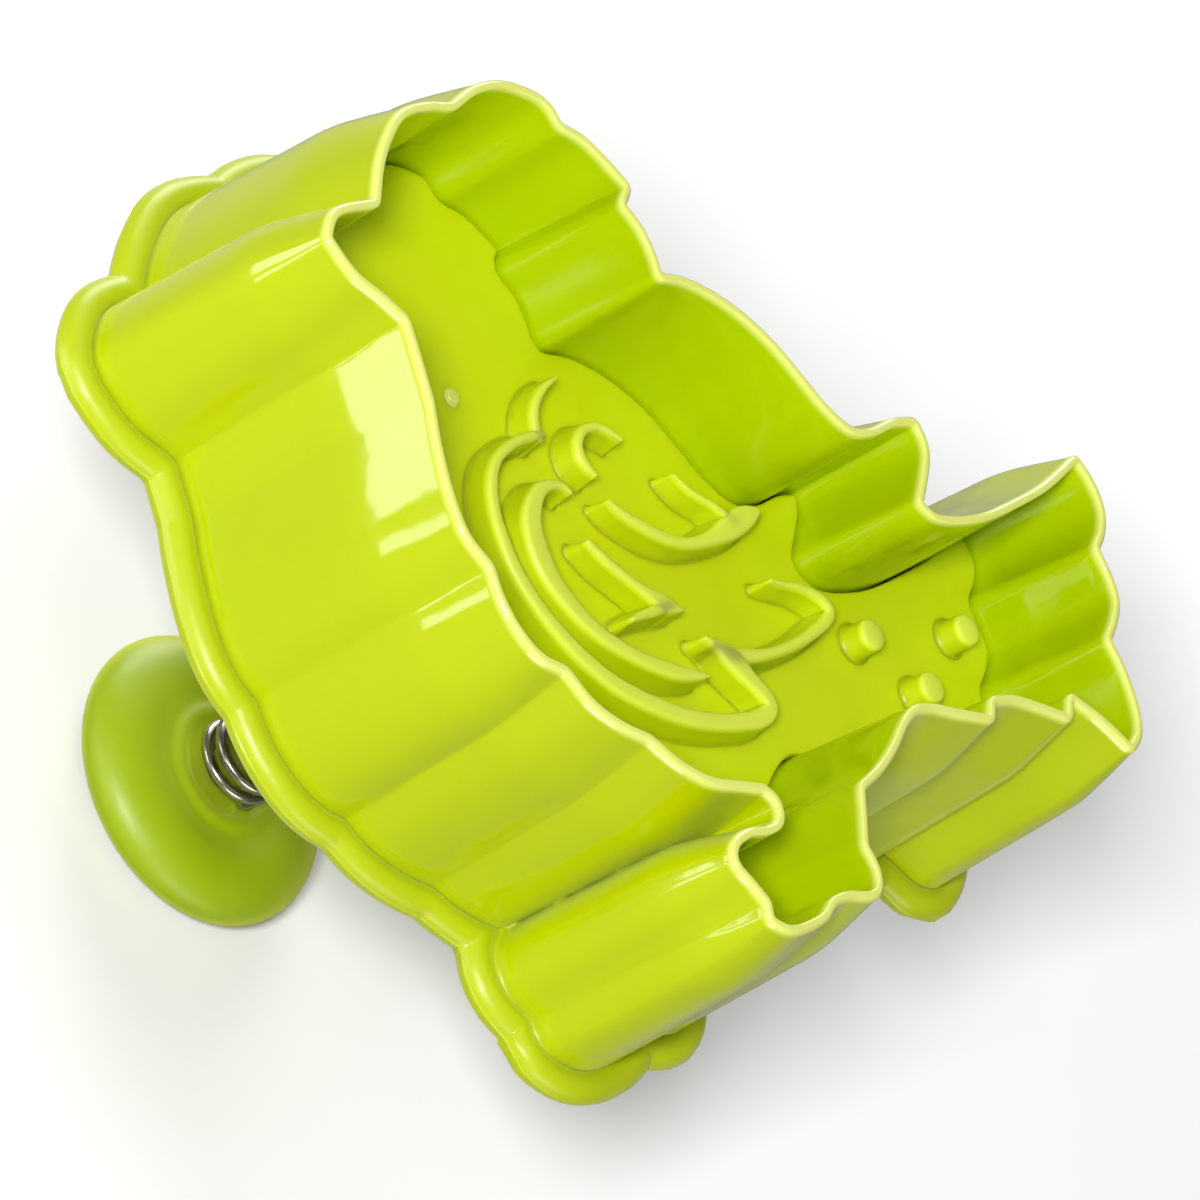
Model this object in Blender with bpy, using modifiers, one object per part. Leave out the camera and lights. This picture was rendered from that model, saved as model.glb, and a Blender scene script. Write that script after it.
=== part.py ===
"""A plunger cutter for dough, icing and clay: a hen outline with a sprung stamp inside it.

Metres, +Z up. The part stands on the flat face of its button at z = 0, with the plunger's axis on Z
and the cutting edge on top. Looking down on the edge, the beak points to -X and the comb to +Y.

- cutter_body: thin wall that follows the outline, flange, back plate and guide collar, one moulding
- stamp_plate: raised feather lines and dots on a hollow plate, which slides inside the wall
- plunger_stem: rod that joins the stamp to the button through the guide collar
- return_spring: open coil spring between the guide collar and the button
- button: round push button, with a hub ring round the spring's end
"""

import math

import bmesh
import bpy
import numpy as np

PART_NAME = "plunger_cutter"

# Overall plan size. Every share below is a share of this length, counted from the plunger's axis.
MOTIF_LENGTH = 0.090

# Heights above the button's flat face
EDGE_HEIGHT = 0.0625
FLANGE_DROP = 0.0240
FLANGE_THICKNESS = 0.0028
PLATE_THICKNESS = 0.0022
STAMP_DROP = 0.0133

# The wall that follows the outline. The outline is the middle of the cutting edge.
EDGE_THICKNESS = 0.00066
EDGE_ROUND = 0.00015
# How far the wall's outer face has grown outwards, at each depth under the edge
WALL_GROWTH = (
    (0.0008, 0.0002),
    (0.0043, 0.0011),
    (0.0078, 0.0019),
    (0.0164, 0.0023),
    (0.0228, 0.0026),
)
WALL_INNER_GROWTH = 0.0004
WALL_FILLET = 0.0007
FLANGE_REACH = 0.0024
FLANGE_ROUND = 0.0013
CORNER_SOFTNESS = 0.00030
# The wall leans: by the flange, its outer face has moved this far along X and Y.
WALL_LEAN = (0.00085, -0.00040)

# The stamp
STAMP_FIT = 0.0006
STAMP_ROUND = 0.0003
STAMP_FACE_THICKNESS = 0.0018
SKIRT_THICKNESS = 0.0016
RIB_THICKNESS = 0.0014
RIB_SETBACK = 0.0007
BOSS_RADIUS = 0.0042
BOSS_SETBACK = 0.0020
SOCKET_DEPTH = 0.0062

# The raised lines and dots on the stamp
RIDGE_HEIGHT = 0.0024
RIDGE_DRAFT = 0.00020
RIDGE_ROUND = 0.00020
RIDGE_ROOT = 0.0004
RIDGE_LOWERING = 0.0001
POST_RADIUS = 0.0015
POST_HEIGHT = 0.0026
EYE_RADIUS = 0.0008
EYE_HEIGHT = 0.0009

# The plunger's stem, collar and button
STEM_RADIUS = 0.0020
STEM_PIN_RADIUS = 0.0016
STEM_CHAMFER = 0.0004
COLLAR_RADIUS = 0.0043
COLLAR_LENGTH = 0.0040
BUTTON_RADIUS = 0.01265
BUTTON_FLAT_RADIUS = 0.0088
BUTTON_THICKNESS = 0.0058
BUTTON_DISH_RADIUS = 0.0088
BUTTON_DISH_DEPTH = 0.0005
BUTTON_SOCKET_FLOOR = 0.0018
HUB_RING_RADIUS = 0.0049
HUB_RING_WALL = 0.0012
HUB_RING_HEIGHT = 0.0008
HUB_RING_ROUND = 0.0003

# The spring
SPRING_RADIUS = 0.0027
WIRE_RADIUS = 0.00045
SPRING_TURNS = 11
SPRING_POINTS_PER_TURN = 9
END_CLOSING_SHARE = 0.36

# Fits
SEAT_GAP = 0.0003
SLIDING_FIT = 0.00035

# How finely curves are cut
OUTLINE_STEP = 0.00015
OUTLINE_LONGEST_STEP = 0.0036
OUTLINE_TURN = math.radians(19)
RIDGE_STEP = 0.0012
TURNED_STEPS = 40
NEAR_POINTS = 0.00035
STRAIGHT_TURN = 1e-16
MERGE_DISTANCE = 0.00001

# The hen's outline, clockwise from the beak. A new stretch begins at each corner, and a stretch runs
# smoothly through its points to the first point of the next.
OUTLINE_SHARES = {
    "beak_top": (
        (-0.463, 0.144), (-0.452, 0.167), (-0.436, 0.178),
    ),
    "crown": (
        (-0.397, 0.193), (-0.387, 0.230), (-0.372, 0.262), (-0.350, 0.291), (-0.318, 0.308),
    ),
    "tuft_front": (
        (-0.284, 0.317), (-0.251, 0.343), (-0.221, 0.356), (-0.190, 0.359), (-0.162, 0.354),
    ),
    "tuft_back": (
        (-0.148, 0.336), (-0.119, 0.330), (-0.091, 0.314),
    ),
    "nape_notch": (
        (-0.069, 0.298),
    ),
    "nape": (
        (-0.081, 0.278), (-0.062, 0.261), (-0.050, 0.239),
    ),
    "back": (
        (-0.044, 0.216), (-0.014, 0.220), (0.019, 0.217), (0.058, 0.206), (0.097, 0.186),
        (0.132, 0.158), (0.159, 0.137), (0.190, 0.124), (0.219, 0.131), (0.248, 0.147),
    ),
    "spur": (
        (0.279, 0.156), (0.288, 0.133), (0.280, 0.103),
    ),
    "tail_top": (
        (0.267, 0.073), (0.286, 0.063), (0.319, 0.067), (0.358, 0.080), (0.402, 0.103),
        (0.452, 0.133),
    ),
    "tail_lobe_1": (
        (0.504, 0.174), (0.521, 0.153), (0.529, 0.128), (0.523, 0.104),
    ),
    "tail_lobe_2": (
        (0.511, 0.086), (0.523, 0.063), (0.529, 0.039), (0.521, 0.016),
    ),
    "tail_lobe_3": (
        (0.507, -0.006), (0.522, -0.034), (0.532, -0.070), (0.530, -0.094),
    ),
    "tail_fold_1": (
        (0.516, -0.113), (0.480, -0.093),
    ),
    "tail_step_1": (
        (0.439, -0.078),
    ),
    "tail_fold_2": (
        (0.433, -0.101), (0.397, -0.099), (0.359, -0.099),
    ),
    "tail_step_2": (
        (0.326, -0.107),
    ),
    "rump": (
        (0.322, -0.126), (0.280, -0.130), (0.241, -0.133), (0.217, -0.140), (0.199, -0.157),
        (0.182, -0.181), (0.158, -0.208),
    ),
    "leg": (
        (0.127, -0.233), (0.124, -0.261),
    ),
    "heel": (
        (0.120, -0.290), (0.132, -0.312), (0.127, -0.333),
    ),
    "toe_1": (
        (0.088, -0.343), (0.068, -0.353), (0.054, -0.369), (0.030, -0.383), (0.004, -0.392),
    ),
    "toe_notch": (
        (-0.019, -0.388),
    ),
    "toe_2": (
        (-0.019, -0.372), (-0.038, -0.356), (-0.054, -0.342), (-0.051, -0.326), (-0.030, -0.310),
        (-0.006, -0.303), (0.012, -0.291), (0.012, -0.272),
    ),
    "belly": (
        (-0.003, -0.262), (-0.033, -0.266), (-0.070, -0.270), (-0.107, -0.263),
    ),
    "breast_1": (
        (-0.143, -0.246), (-0.177, -0.241), (-0.210, -0.228),
    ),
    "breast_2": (
        (-0.237, -0.204), (-0.267, -0.198), (-0.291, -0.178), (-0.307, -0.151),
    ),
    "breast_3": (
        (-0.314, -0.126), (-0.339, -0.103), (-0.353, -0.066), (-0.360, -0.023),
    ),
    "throat": (
        (-0.362, 0.016), (-0.370, 0.052),
    ),
    "beak_under": (
        (-0.379, 0.089), (-0.406, 0.103), (-0.437, 0.117),
    ),
}

# The foot is too narrow to hollow out behind the stamp, so there the stamp is solid.
FOOT_STRETCHES = ("leg", "heel", "toe_1", "toe_notch", "toe_2")

# The raised lines: the wing's feathers, each a smooth line. The third share at a point is the line's width.
RIDGE_SHARES = {
    "wing_shoulder": (
        (-0.060, 0.165, 0.0027), (-0.076, 0.152, 0.0069), (-0.088, 0.136, 0.0093),
        (-0.094, 0.120, 0.0111), (-0.094, 0.109, 0.0122), (-0.091, 0.101, 0.0122),
    ),
    "outer_feather": (
        (-0.089, 0.103, 0.0098), (-0.117, 0.091, 0.0098), (-0.142, 0.073, 0.0103),
        (-0.156, 0.054, 0.0122), (-0.162, 0.033, 0.0136), (-0.162, 0.010, 0.0141),
        (-0.157, -0.011, 0.0148), (-0.148, -0.034, 0.0156), (-0.134, -0.056, 0.0161),
        (-0.116, -0.076, 0.0167), (-0.094, -0.094, 0.0172), (-0.069, -0.110, 0.0178),
        (-0.040, -0.123, 0.0183), (-0.012, -0.130, 0.0187), (0.016, -0.134, 0.0187),
        (0.053, -0.136, 0.0183), (0.093, -0.132, 0.0178), (0.128, -0.124, 0.0178),
        (0.156, -0.113, 0.0189), (0.171, -0.103, 0.0144),
    ),
    "outer_feather_tip": (
        (0.172, -0.104, 0.0133), (0.166, -0.094, 0.0178), (0.156, -0.085, 0.0200),
        (0.144, -0.077, 0.0217), (0.132, -0.069, 0.0256), (0.119, -0.061, 0.0233),
        (0.107, -0.055, 0.0144), (0.092, -0.052, 0.0043),
    ),
    "long_feather": (
        (0.104, -0.056, 0.0089), (0.122, -0.060, 0.0161), (0.146, -0.056, 0.0148),
        (0.174, -0.048, 0.0117), (0.202, -0.036, 0.0107), (0.229, -0.021, 0.0111),
        (0.254, -0.004, 0.0133), (0.274, 0.012, 0.0111),
    ),
    "long_feather_tip": (
        (0.274, 0.009, 0.0111), (0.270, 0.019, 0.0128), (0.261, 0.026, 0.0117), (0.246, 0.030, 0.0088),
        (0.229, 0.030, 0.0071), (0.210, 0.028, 0.0053), (0.191, 0.027, 0.0019),
    ),
    "inner_feather": (
        (-0.046, 0.008, 0.0070), (-0.029, -0.002, 0.0107), (-0.013, -0.010, 0.0099),
        (0.004, -0.017, 0.0101), (0.021, -0.023, 0.0119), (0.037, -0.027, 0.0178),
        (0.050, -0.030, 0.0172), (0.063, -0.031, 0.0048),
    ),
    "inner_feather_tip": (
        (0.050, -0.030, 0.0100), (0.040, -0.034, 0.0122), (0.026, -0.041, 0.0096),
        (0.011, -0.048, 0.0078), (-0.002, -0.055, 0.0046),
    ),
    "down_curl": (
        (0.015, 0.123, 0.0027), (0.002, 0.128, 0.0072), (-0.014, 0.129, 0.0092),
        (-0.031, 0.122, 0.0097), (-0.041, 0.108, 0.0117), (-0.041, 0.095, 0.0128),
        (-0.035, 0.086, 0.0111), (-0.026, 0.079, 0.0053),
    ),
    "upper_feather": (
        (-0.013, 0.056, 0.0026), (-0.001, 0.051, 0.0090), (0.014, 0.046, 0.0114),
        (0.032, 0.042, 0.0124), (0.050, 0.039, 0.0127), (0.068, 0.038, 0.0122), (0.087, 0.040, 0.0117),
        (0.106, 0.046, 0.0128), (0.127, 0.056, 0.0167), (0.146, 0.068, 0.0228), (0.164, 0.081, 0.0256),
        (0.179, 0.091, 0.0179), (0.190, 0.097, 0.0058),
    ),
    "down_line": (
        (0.080, 0.105, 0.0016), (0.089, 0.100, 0.0054), (0.099, 0.095, 0.0068), (0.111, 0.091, 0.0070),
        (0.126, 0.088, 0.0073), (0.140, 0.084, 0.0117), (0.152, 0.078, 0.0144),
    ),
    "middle_feather": (
        (-0.062, 0.053, 0.0040), (-0.069, 0.057, 0.0080), (-0.083, 0.056, 0.0108),
        (-0.099, 0.047, 0.0150), (-0.110, 0.031, 0.0200), (-0.116, 0.012, 0.0239),
        (-0.114, -0.007, 0.0256), (-0.108, -0.025, 0.0250), (-0.098, -0.041, 0.0233),
        (-0.082, -0.057, 0.0207), (-0.061, -0.072, 0.0184), (-0.035, -0.083, 0.0167),
        (-0.005, -0.090, 0.0158), (0.020, -0.093, 0.0161), (0.048, -0.094, 0.0161),
        (0.072, -0.092, 0.0111), (0.087, -0.090, 0.0028),
    ),
}

# These run into the end of another line, so they stand a hair lower and their tops don't share a face.
LOWER_RIDGES = (
    "wing_shoulder",
    "outer_feather_tip",
    "long_feather_tip",
    "inner_feather_tip",
    "down_line",
)

POST_SHARES = ((0.324, 0.005), (0.461, 0.041), (0.398, -0.031))
EYE_SHARE = (-0.172, 0.128)

# Heights that follow from the ones above
FLANGE_TOP = EDGE_HEIGHT - FLANGE_DROP
PLATE_BOTTOM = FLANGE_TOP - FLANGE_THICKNESS
PLATE_TOP = PLATE_BOTTOM + PLATE_THICKNESS
COLLAR_BOTTOM = PLATE_BOTTOM - COLLAR_LENGTH
STAMP_FACE = EDGE_HEIGHT - STAMP_DROP
SKIRT_BOTTOM = PLATE_TOP + SEAT_GAP
STAMP_UNDERSIDE = STAMP_FACE - STAMP_FACE_THICKNESS
BOSS_BOTTOM = SKIRT_BOTTOM + BOSS_SETBACK
LONG_RIB_BOTTOM = BOSS_BOTTOM + RIB_SETBACK
CROSS_RIB_BOTTOM = LONG_RIB_BOTTOM + RIB_SETBACK
SOCKET_RADIUS = STEM_PIN_RADIUS + SEAT_GAP


def plain_material(name, colour, roughness, metallic=0.0):
    material = bpy.data.materials.new(name)
    material.use_nodes = True
    shader = material.node_tree.nodes["Principled BSDF"]
    shader.inputs["Base Color"].default_value = (*colour, 1.0)
    shader.inputs["Roughness"].default_value = roughness
    shader.inputs["Metallic"].default_value = metallic
    return material


def clear_scene():
    for item in list(bpy.data.objects):
        bpy.data.objects.remove(item, do_unlink=True)


def new_collection(name, is_helper=False):
    collection = bpy.data.collections.new(name)
    bpy.context.scene.collection.children.link(collection)
    collection.hide_render = is_helper
    return collection


def place(name, data, collection):
    item = bpy.data.objects.new(name, data)
    collection.objects.link(item)
    if collection.hide_render:
        item.hide_render = True
        item.display_type = "WIRE"
    return item


def boolean(target, operation, cutter):
    """Joins or cuts the target with one object, or with all of a collection."""
    step = target.modifiers.new(f"{operation.lower()} {cutter.name}", "BOOLEAN")
    step.operation = operation
    step.solver = "EXACT"
    if isinstance(cutter, bpy.types.Collection):
        step.operand_type = "COLLECTION"
        step.collection = cutter
    else:
        step.object = cutter
    return step


def smooth_line(points, step):
    """A smooth line through all the points, about one step between its samples."""
    points = np.array(points, float)
    ends = np.vstack([2 * points[0] - points[1], points, 2 * points[-1] - points[-2]])
    line = []
    for before, start, end, after in zip(ends[:-3], ends[1:-2], ends[2:-1], ends[3:]):
        span = np.linalg.norm(end - start)
        reach_in = span / max(np.linalg.norm(end - before), span)
        reach_out = span / max(np.linalg.norm(after - start), span)
        leave = (end - before) * reach_in
        arrive = (after - start) * reach_out
        count = max(2, round(span / step))
        t = np.arange(count)[:, None] / count
        line.append(
            (2 * t**3 - 3 * t**2 + 1) * start
            + (t**3 - 2 * t**2 + t) * leave
            + (3 * t**2 - 2 * t**3) * end
            + (t**3 - t**2) * arrive
        )
    line.append(points[-1:])
    return np.vstack(line)


def fine_outline():
    """The closed outline as close points, with each corner softened a little, and which are the foot's."""
    stretches = list(OUTLINE_SHARES.values())
    pieces = []
    for stretch, following in zip(stretches, stretches[1:] + stretches[:1]):
        points = [*stretch, following[0]]
        pieces.append(smooth_line(np.array(points) * MOTIF_LENGTH, OUTLINE_STEP)[:-1])
    line = np.vstack(pieces)
    is_foot = np.repeat([name in FOOT_STRETCHES for name in OUTLINE_SHARES], [len(p) for p in pieces])
    gaps = np.linalg.norm(np.roll(line, -1, axis=0) - line, axis=1)
    along = np.concatenate([[0.0], np.cumsum(gaps)])
    count = round(along[-1] / OUTLINE_STEP)
    even = np.linspace(0.0, along[-1], count, endpoint=False)
    is_foot = is_foot[np.searchsorted(along, even, side="right") - 1]
    closed = np.vstack([line, line[:1]])
    line = np.stack([np.interp(even, along, closed[:, axis]) for axis in (0, 1)], axis=1)
    width = CORNER_SOFTNESS / OUTLINE_STEP
    reach = math.ceil(3 * width)
    shifts = np.arange(-reach, reach + 1)
    weights = np.exp(-0.5 * (shifts / width) ** 2)
    weights /= weights.sum()
    soft = sum(weight * np.roll(line, shift, axis=0) for weight, shift in zip(weights, shifts))
    return soft, is_foot


def cross(first, second):
    return first[..., 0] * second[..., 1] - first[..., 1] * second[..., 0]


def untangled(line):
    """A closed line whose small loops, where it crosses over itself, are drawn together at the crossing."""
    count = len(line)
    for _ in range(count):
        runs = np.roll(line, -1, axis=0) - line
        gaps = line[None] - line[:, None]
        turns = cross(runs[:, None], runs[None])
        is_straight = np.abs(turns) < STRAIGHT_TURN
        safe = np.where(is_straight, 1.0, turns)
        share = cross(gaps, runs[None]) / safe
        other_share = cross(gaps, runs[:, None]) / safe
        is_on_both = (np.minimum(share, other_share) > 1e-6) & (np.maximum(share, other_share) < 1)
        pairs = np.argwhere(is_on_both & ~is_straight)
        if not len(pairs):
            break
        steps = (pairs[:, 1] - pairs[:, 0]) % count
        first = pairs[steps.argmin(), 0]
        loop = (first + 1 + np.arange(steps.min())) % count
        line[loop] = line[first] + runs[first] * share[first, (first + steps.min()) % count]
    return line


class Outline:
    """The hen's outline, and the lines that run beside it at a distance."""

    def __init__(self):
        fine, is_foot = fine_outline()
        forward = np.roll(fine, -1, axis=0) - np.roll(fine, 1, axis=0)
        forward /= np.linalg.norm(forward, axis=1)[:, None]
        bearing = np.unwrap(np.arctan2(forward[:, 1], forward[:, 0]))
        turns = np.abs(np.diff(bearing, append=bearing[-1:]))
        effort = np.cumsum(turns / OUTLINE_TURN + OUTLINE_STEP / OUTLINE_LONGEST_STEP)
        count = math.ceil(effort[-1])
        picks = np.searchsorted(effort, (np.arange(count) + 0.5) * effort[-1] / count)
        self.fine = fine
        self.points = fine[picks]
        self.is_foot = is_foot[picks]
        self.tangents = forward[picks]
        # The outline runs clockwise, so its left side is outwards.
        self.normals = np.stack([-self.tangents[:, 1], self.tangents[:, 0]], axis=1)
        self.room_outside = self.room_beside(self.normals)
        self.room_inside = self.room_beside(-self.normals)

    def room_beside(self, normals):
        """How far each point can move along its normal before another part of the line is nearer."""
        gaps = self.fine[None] - self.points[:, None]
        squares = (gaps**2).sum(axis=2)
        ahead = (gaps * normals[:, None]).sum(axis=2)
        is_used = (ahead > 0) & (squares > NEAR_POINTS**2)
        balls = np.where(is_used, squares / np.where(is_used, 2 * ahead, 1.0), np.inf)
        return balls.min(axis=1)

    def beside(self, distance, has_foot=True):
        """The line at a distance outwards, with the points that would cross over drawn together."""
        room = self.room_outside if distance > 0 else self.room_inside
        is_blocked = room < abs(distance)
        if not has_foot:
            is_blocked |= self.is_foot
        moved = self.points + self.normals * distance
        if not is_blocked.any():
            return untangled(moved)
        start = int(np.argmin(is_blocked))
        order = (np.arange(len(moved)) + start) % len(moved)
        run = []
        for index in [*order, order[0]]:
            if is_blocked[index]:
                run.append(index)
            elif run:
                before = (run[0] - 1) % len(moved)
                moved[run] = self.meeting(moved, before, index)
                run = []
        return untangled(moved)

    def meeting(self, moved, before, after):
        """Where the lines through two points cross, or halfway between the points if that is far off."""
        gap = moved[after] - moved[before]
        pair = np.stack([self.tangents[before], self.tangents[after]], axis=1)
        halfway = moved[before] + gap / 2
        if abs(np.linalg.det(pair)) < math.sin(OUTLINE_TURN) / 2:
            return halfway
        found = moved[before] + self.tangents[before] * np.linalg.solve(pair, gap)[0]
        return found if np.linalg.norm(found - halfway) < np.linalg.norm(gap) else halfway

    def reach(self, distance, heading):
        """How far it is from the plunger's axis to the line beside the outline, along a heading."""
        line = self.beside(distance)
        ahead = line @ np.array(heading, float)
        aside = line @ np.array((-heading[1], heading[0]), float)
        next_ahead, next_aside = np.roll(ahead, -1), np.roll(aside, -1)
        crosses = (aside > 0) != (next_aside > 0)
        share = aside[crosses] / (aside - next_aside)[crosses]
        found = ahead[crosses] + (next_ahead - ahead)[crosses] * share
        return found[found > 0].min()

    def ring(self, distance, height, has_foot=True, leaning=0.0):
        """The line beside the outline, at a height, moved by a share of the wall's lean."""
        line = self.beside(distance, has_foot) + np.array(WALL_LEAN) * leaning
        return [(x, y, height) for x, y in line]


def loft(name, rings, collection):
    """A closed solid through rings of as many points each, with a flat cap on the first and the last."""
    shape = bmesh.new()
    rows = [[shape.verts.new(point) for point in ring] for ring in rings]
    count = len(rows[0])
    for low, high in zip(rows, rows[1:]):
        for i in range(count):
            j = (i + 1) % count
            shape.faces.new((low[i], low[j], high[j], high[i]))
    shape.faces.new(rows[0][::-1])
    shape.faces.new(rows[-1])
    bmesh.ops.remove_doubles(shape, verts=shape.verts, dist=MERGE_DISTANCE)
    bmesh.ops.triangulate(shape, faces=shape.faces, quad_method="SHORT_EDGE")
    bmesh.ops.recalc_face_normals(shape, faces=shape.faces)
    mesh = bpy.data.meshes.new(name)
    shape.to_mesh(mesh)
    shape.free()
    return place(name, mesh, collection)


def turned(name, profile, collection, steps=TURNED_STEPS):
    """A solid of revolution about its own Z, from (radius, height) points that start and end on it."""
    mesh = bpy.data.meshes.new(name)
    edges = [(i, i + 1) for i in range(len(profile) - 1)]
    mesh.from_pydata([(radius, 0.0, height) for radius, height in profile], edges, [])
    item = place(name, mesh, collection)
    screw = item.modifiers.new("turn", "SCREW")
    screw.axis = "Z"
    screw.steps = steps
    screw.render_steps = steps
    screw.use_merge_vertices = True
    screw.merge_threshold = MERGE_DISTANCE
    screw.use_normal_flip = True
    return item


def arc(centre, radius, start, end, count):
    """Points on an arc in (radius, height), with angles in degrees from the outward direction."""
    angles = np.radians(np.linspace(start, end, count))
    return [(centre[0] + radius * math.cos(a), centre[1] + radius * math.sin(a)) for a in angles]


def pillar(name, radius, bottom, top, collection):
    profile = [(0.0, bottom), (radius, bottom), (radius, top), (0.0, top)]
    return turned(name, profile, collection)


def box(name, low, high, collection):
    shape = bmesh.new()
    bmesh.ops.create_cube(shape, size=1.0)
    size = [b - a for a, b in zip(low, high)]
    middle = [(a + b) / 2 for a, b in zip(low, high)]
    bmesh.ops.scale(shape, vec=size, verts=shape.verts)
    bmesh.ops.translate(shape, vec=middle, verts=shape.verts)
    mesh = bpy.data.meshes.new(name)
    shape.to_mesh(mesh)
    shape.free()
    return place(name, mesh, collection)


def make_cutter_body(outline, collection, helpers):
    half = EDGE_THICKNESS / 2
    foot = half + WALL_GROWTH[-1][1]
    rim = foot + FLANGE_REACH
    steps = [
        (-half - WALL_INNER_GROWTH, PLATE_TOP),
        (-half - WALL_INNER_GROWTH, STAMP_FACE),
        (-half, EDGE_HEIGHT - EDGE_ROUND),
        (-half + EDGE_ROUND, EDGE_HEIGHT),
        (half - EDGE_ROUND, EDGE_HEIGHT),
        (half, EDGE_HEIGHT - EDGE_ROUND),
    ]
    rings = [outline.ring(*step) for step in steps]
    for depth, growth in WALL_GROWTH:
        leaning = depth / FLANGE_DROP
        rings.append(outline.ring(half + growth, EDGE_HEIGHT - depth, leaning=leaning))
    steps = [
        (foot + WALL_FILLET / 3, FLANGE_TOP + WALL_FILLET / 3),
        (foot + WALL_FILLET, FLANGE_TOP),
    ]
    steps += arc((rim - FLANGE_ROUND, FLANGE_TOP - FLANGE_ROUND), FLANGE_ROUND, 90, 0, 4)
    steps += arc((rim - FLANGE_ROUND, PLATE_BOTTOM + FLANGE_ROUND), FLANGE_ROUND, 0, -90, 3)
    rings += [outline.ring(*step, leaning=1.0) for step in steps]
    body = loft("cutter_body", rings, collection)
    overlap = PLATE_THICKNESS / 2
    collar = pillar("collar", COLLAR_RADIUS, COLLAR_BOTTOM, PLATE_BOTTOM + overlap, helpers)
    boolean(body, "UNION", collar)
    bore_radius = STEM_RADIUS + SLIDING_FIT
    bore = pillar("bore", bore_radius, COLLAR_BOTTOM - overlap, PLATE_TOP + overlap, helpers)
    boolean(body, "DIFFERENCE", bore)
    return body


def make_ridge(name, shares, collection, lowering=0.0):
    """A raised line on the stamp's face, with sloping sides and a rounded top."""
    line = smooth_line(np.array(shares) * MOTIF_LENGTH, RIDGE_STEP)
    line, widths = line[:, :2], line[:, 2]
    forward = np.gradient(line, axis=0)
    forward /= np.linalg.norm(forward, axis=1)[:, None]
    across = np.stack([-forward[:, 1], forward[:, 0]], axis=1)
    root = STAMP_FACE - RIDGE_ROOT - lowering
    top = STAMP_FACE + RIDGE_HEIGHT - lowering
    shape = bmesh.new()
    rows = []
    for point, side, width in zip(line, across, widths):
        half = width / 2
        section = (
            (-half - RIDGE_DRAFT, root),
            (-half, top - RIDGE_ROUND),
            (-half * 0.6, top),
            (half * 0.6, top),
            (half, top - RIDGE_ROUND),
            (half + RIDGE_DRAFT, root),
        )
        rows.append([shape.verts.new((*(point + side * x), z)) for x, z in section])
    for low, high in zip(rows, rows[1:]):
        for i in range(len(low)):
            j = (i + 1) % len(low)
            shape.faces.new((low[i], low[j], high[j], high[i]))
    shape.faces.new(rows[0][::-1])
    shape.faces.new(rows[-1])
    bmesh.ops.recalc_face_normals(shape, faces=shape.faces)
    mesh = bpy.data.meshes.new(name)
    shape.to_mesh(mesh)
    shape.free()
    return place(name, mesh, collection)


def make_dot(name, share, radius, height, collection):
    """A raised round dot: straight sides and a low dome."""
    dome = height / 3
    profile = [
        (0.0, -RIDGE_ROOT),
        (radius, -RIDGE_ROOT),
        (radius * 0.95, height - dome),
        (radius * 0.7, height - dome / 3),
        (0.0, height),
    ]
    dot = turned(name, profile, collection, steps=20)
    dot.location = (share[0] * MOTIF_LENGTH, share[1] * MOTIF_LENGTH, STAMP_FACE)
    return dot


def make_stamp(outline, collection, helpers, details):
    side = -EDGE_THICKNESS / 2 - WALL_INNER_GROWTH - STAMP_FIT
    hollow_side = side - SKIRT_THICKNESS
    rings = [
        outline.ring(side, SKIRT_BOTTOM),
        outline.ring(side, STAMP_FACE - STAMP_ROUND),
        outline.ring(side - STAMP_ROUND, STAMP_FACE),
    ]
    stamp = loft("stamp_plate", rings, collection)
    hollow_rings = [
        outline.ring(hollow_side, SKIRT_BOTTOM - SKIRT_THICKNESS, has_foot=False),
        outline.ring(hollow_side, STAMP_UNDERSIDE, has_foot=False),
    ]
    boolean(stamp, "DIFFERENCE", loft("stamp_hollow", hollow_rings, helpers))
    inside_face = STAMP_UNDERSIDE + STAMP_FACE_THICKNESS / 2
    inside_skirt = side - SKIRT_THICKNESS / 2
    half_rib = RIB_THICKNESS / 2
    east = outline.reach(inside_skirt, (1, 0))
    west = outline.reach(inside_skirt, (-1, 0))
    north = outline.reach(inside_skirt, (0, 1))
    south = outline.reach(inside_skirt, (0, -1))
    long_rib = ((-west, -half_rib, LONG_RIB_BOTTOM), (east, half_rib, inside_face))
    cross_rib = ((-half_rib, -south, CROSS_RIB_BOTTOM), (half_rib, north, inside_face))
    boolean(stamp, "UNION", box("long_rib", *long_rib, helpers))
    boolean(stamp, "UNION", box("cross_rib", *cross_rib, helpers))
    boolean(stamp, "UNION", pillar("boss", BOSS_RADIUS, BOSS_BOTTOM, inside_face, helpers))
    socket_top = BOSS_BOTTOM + SOCKET_DEPTH
    socket_bottom = SKIRT_BOTTOM - SKIRT_THICKNESS
    socket = pillar("stamp_socket", SOCKET_RADIUS, socket_bottom, socket_top, helpers)
    boolean(stamp, "DIFFERENCE", socket)
    for name, shares in RIDGE_SHARES.items():
        lowering = RIDGE_LOWERING if name in LOWER_RIDGES else 0.0
        make_ridge(name, shares, details, lowering=lowering)
    for number, share in enumerate(POST_SHARES, 1):
        make_dot(f"tail_post_{number}", share, POST_RADIUS, POST_HEIGHT, details)
    make_dot("eye", EYE_SHARE, EYE_RADIUS, EYE_HEIGHT, details)
    boolean(stamp, "UNION", details)
    return stamp


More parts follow.
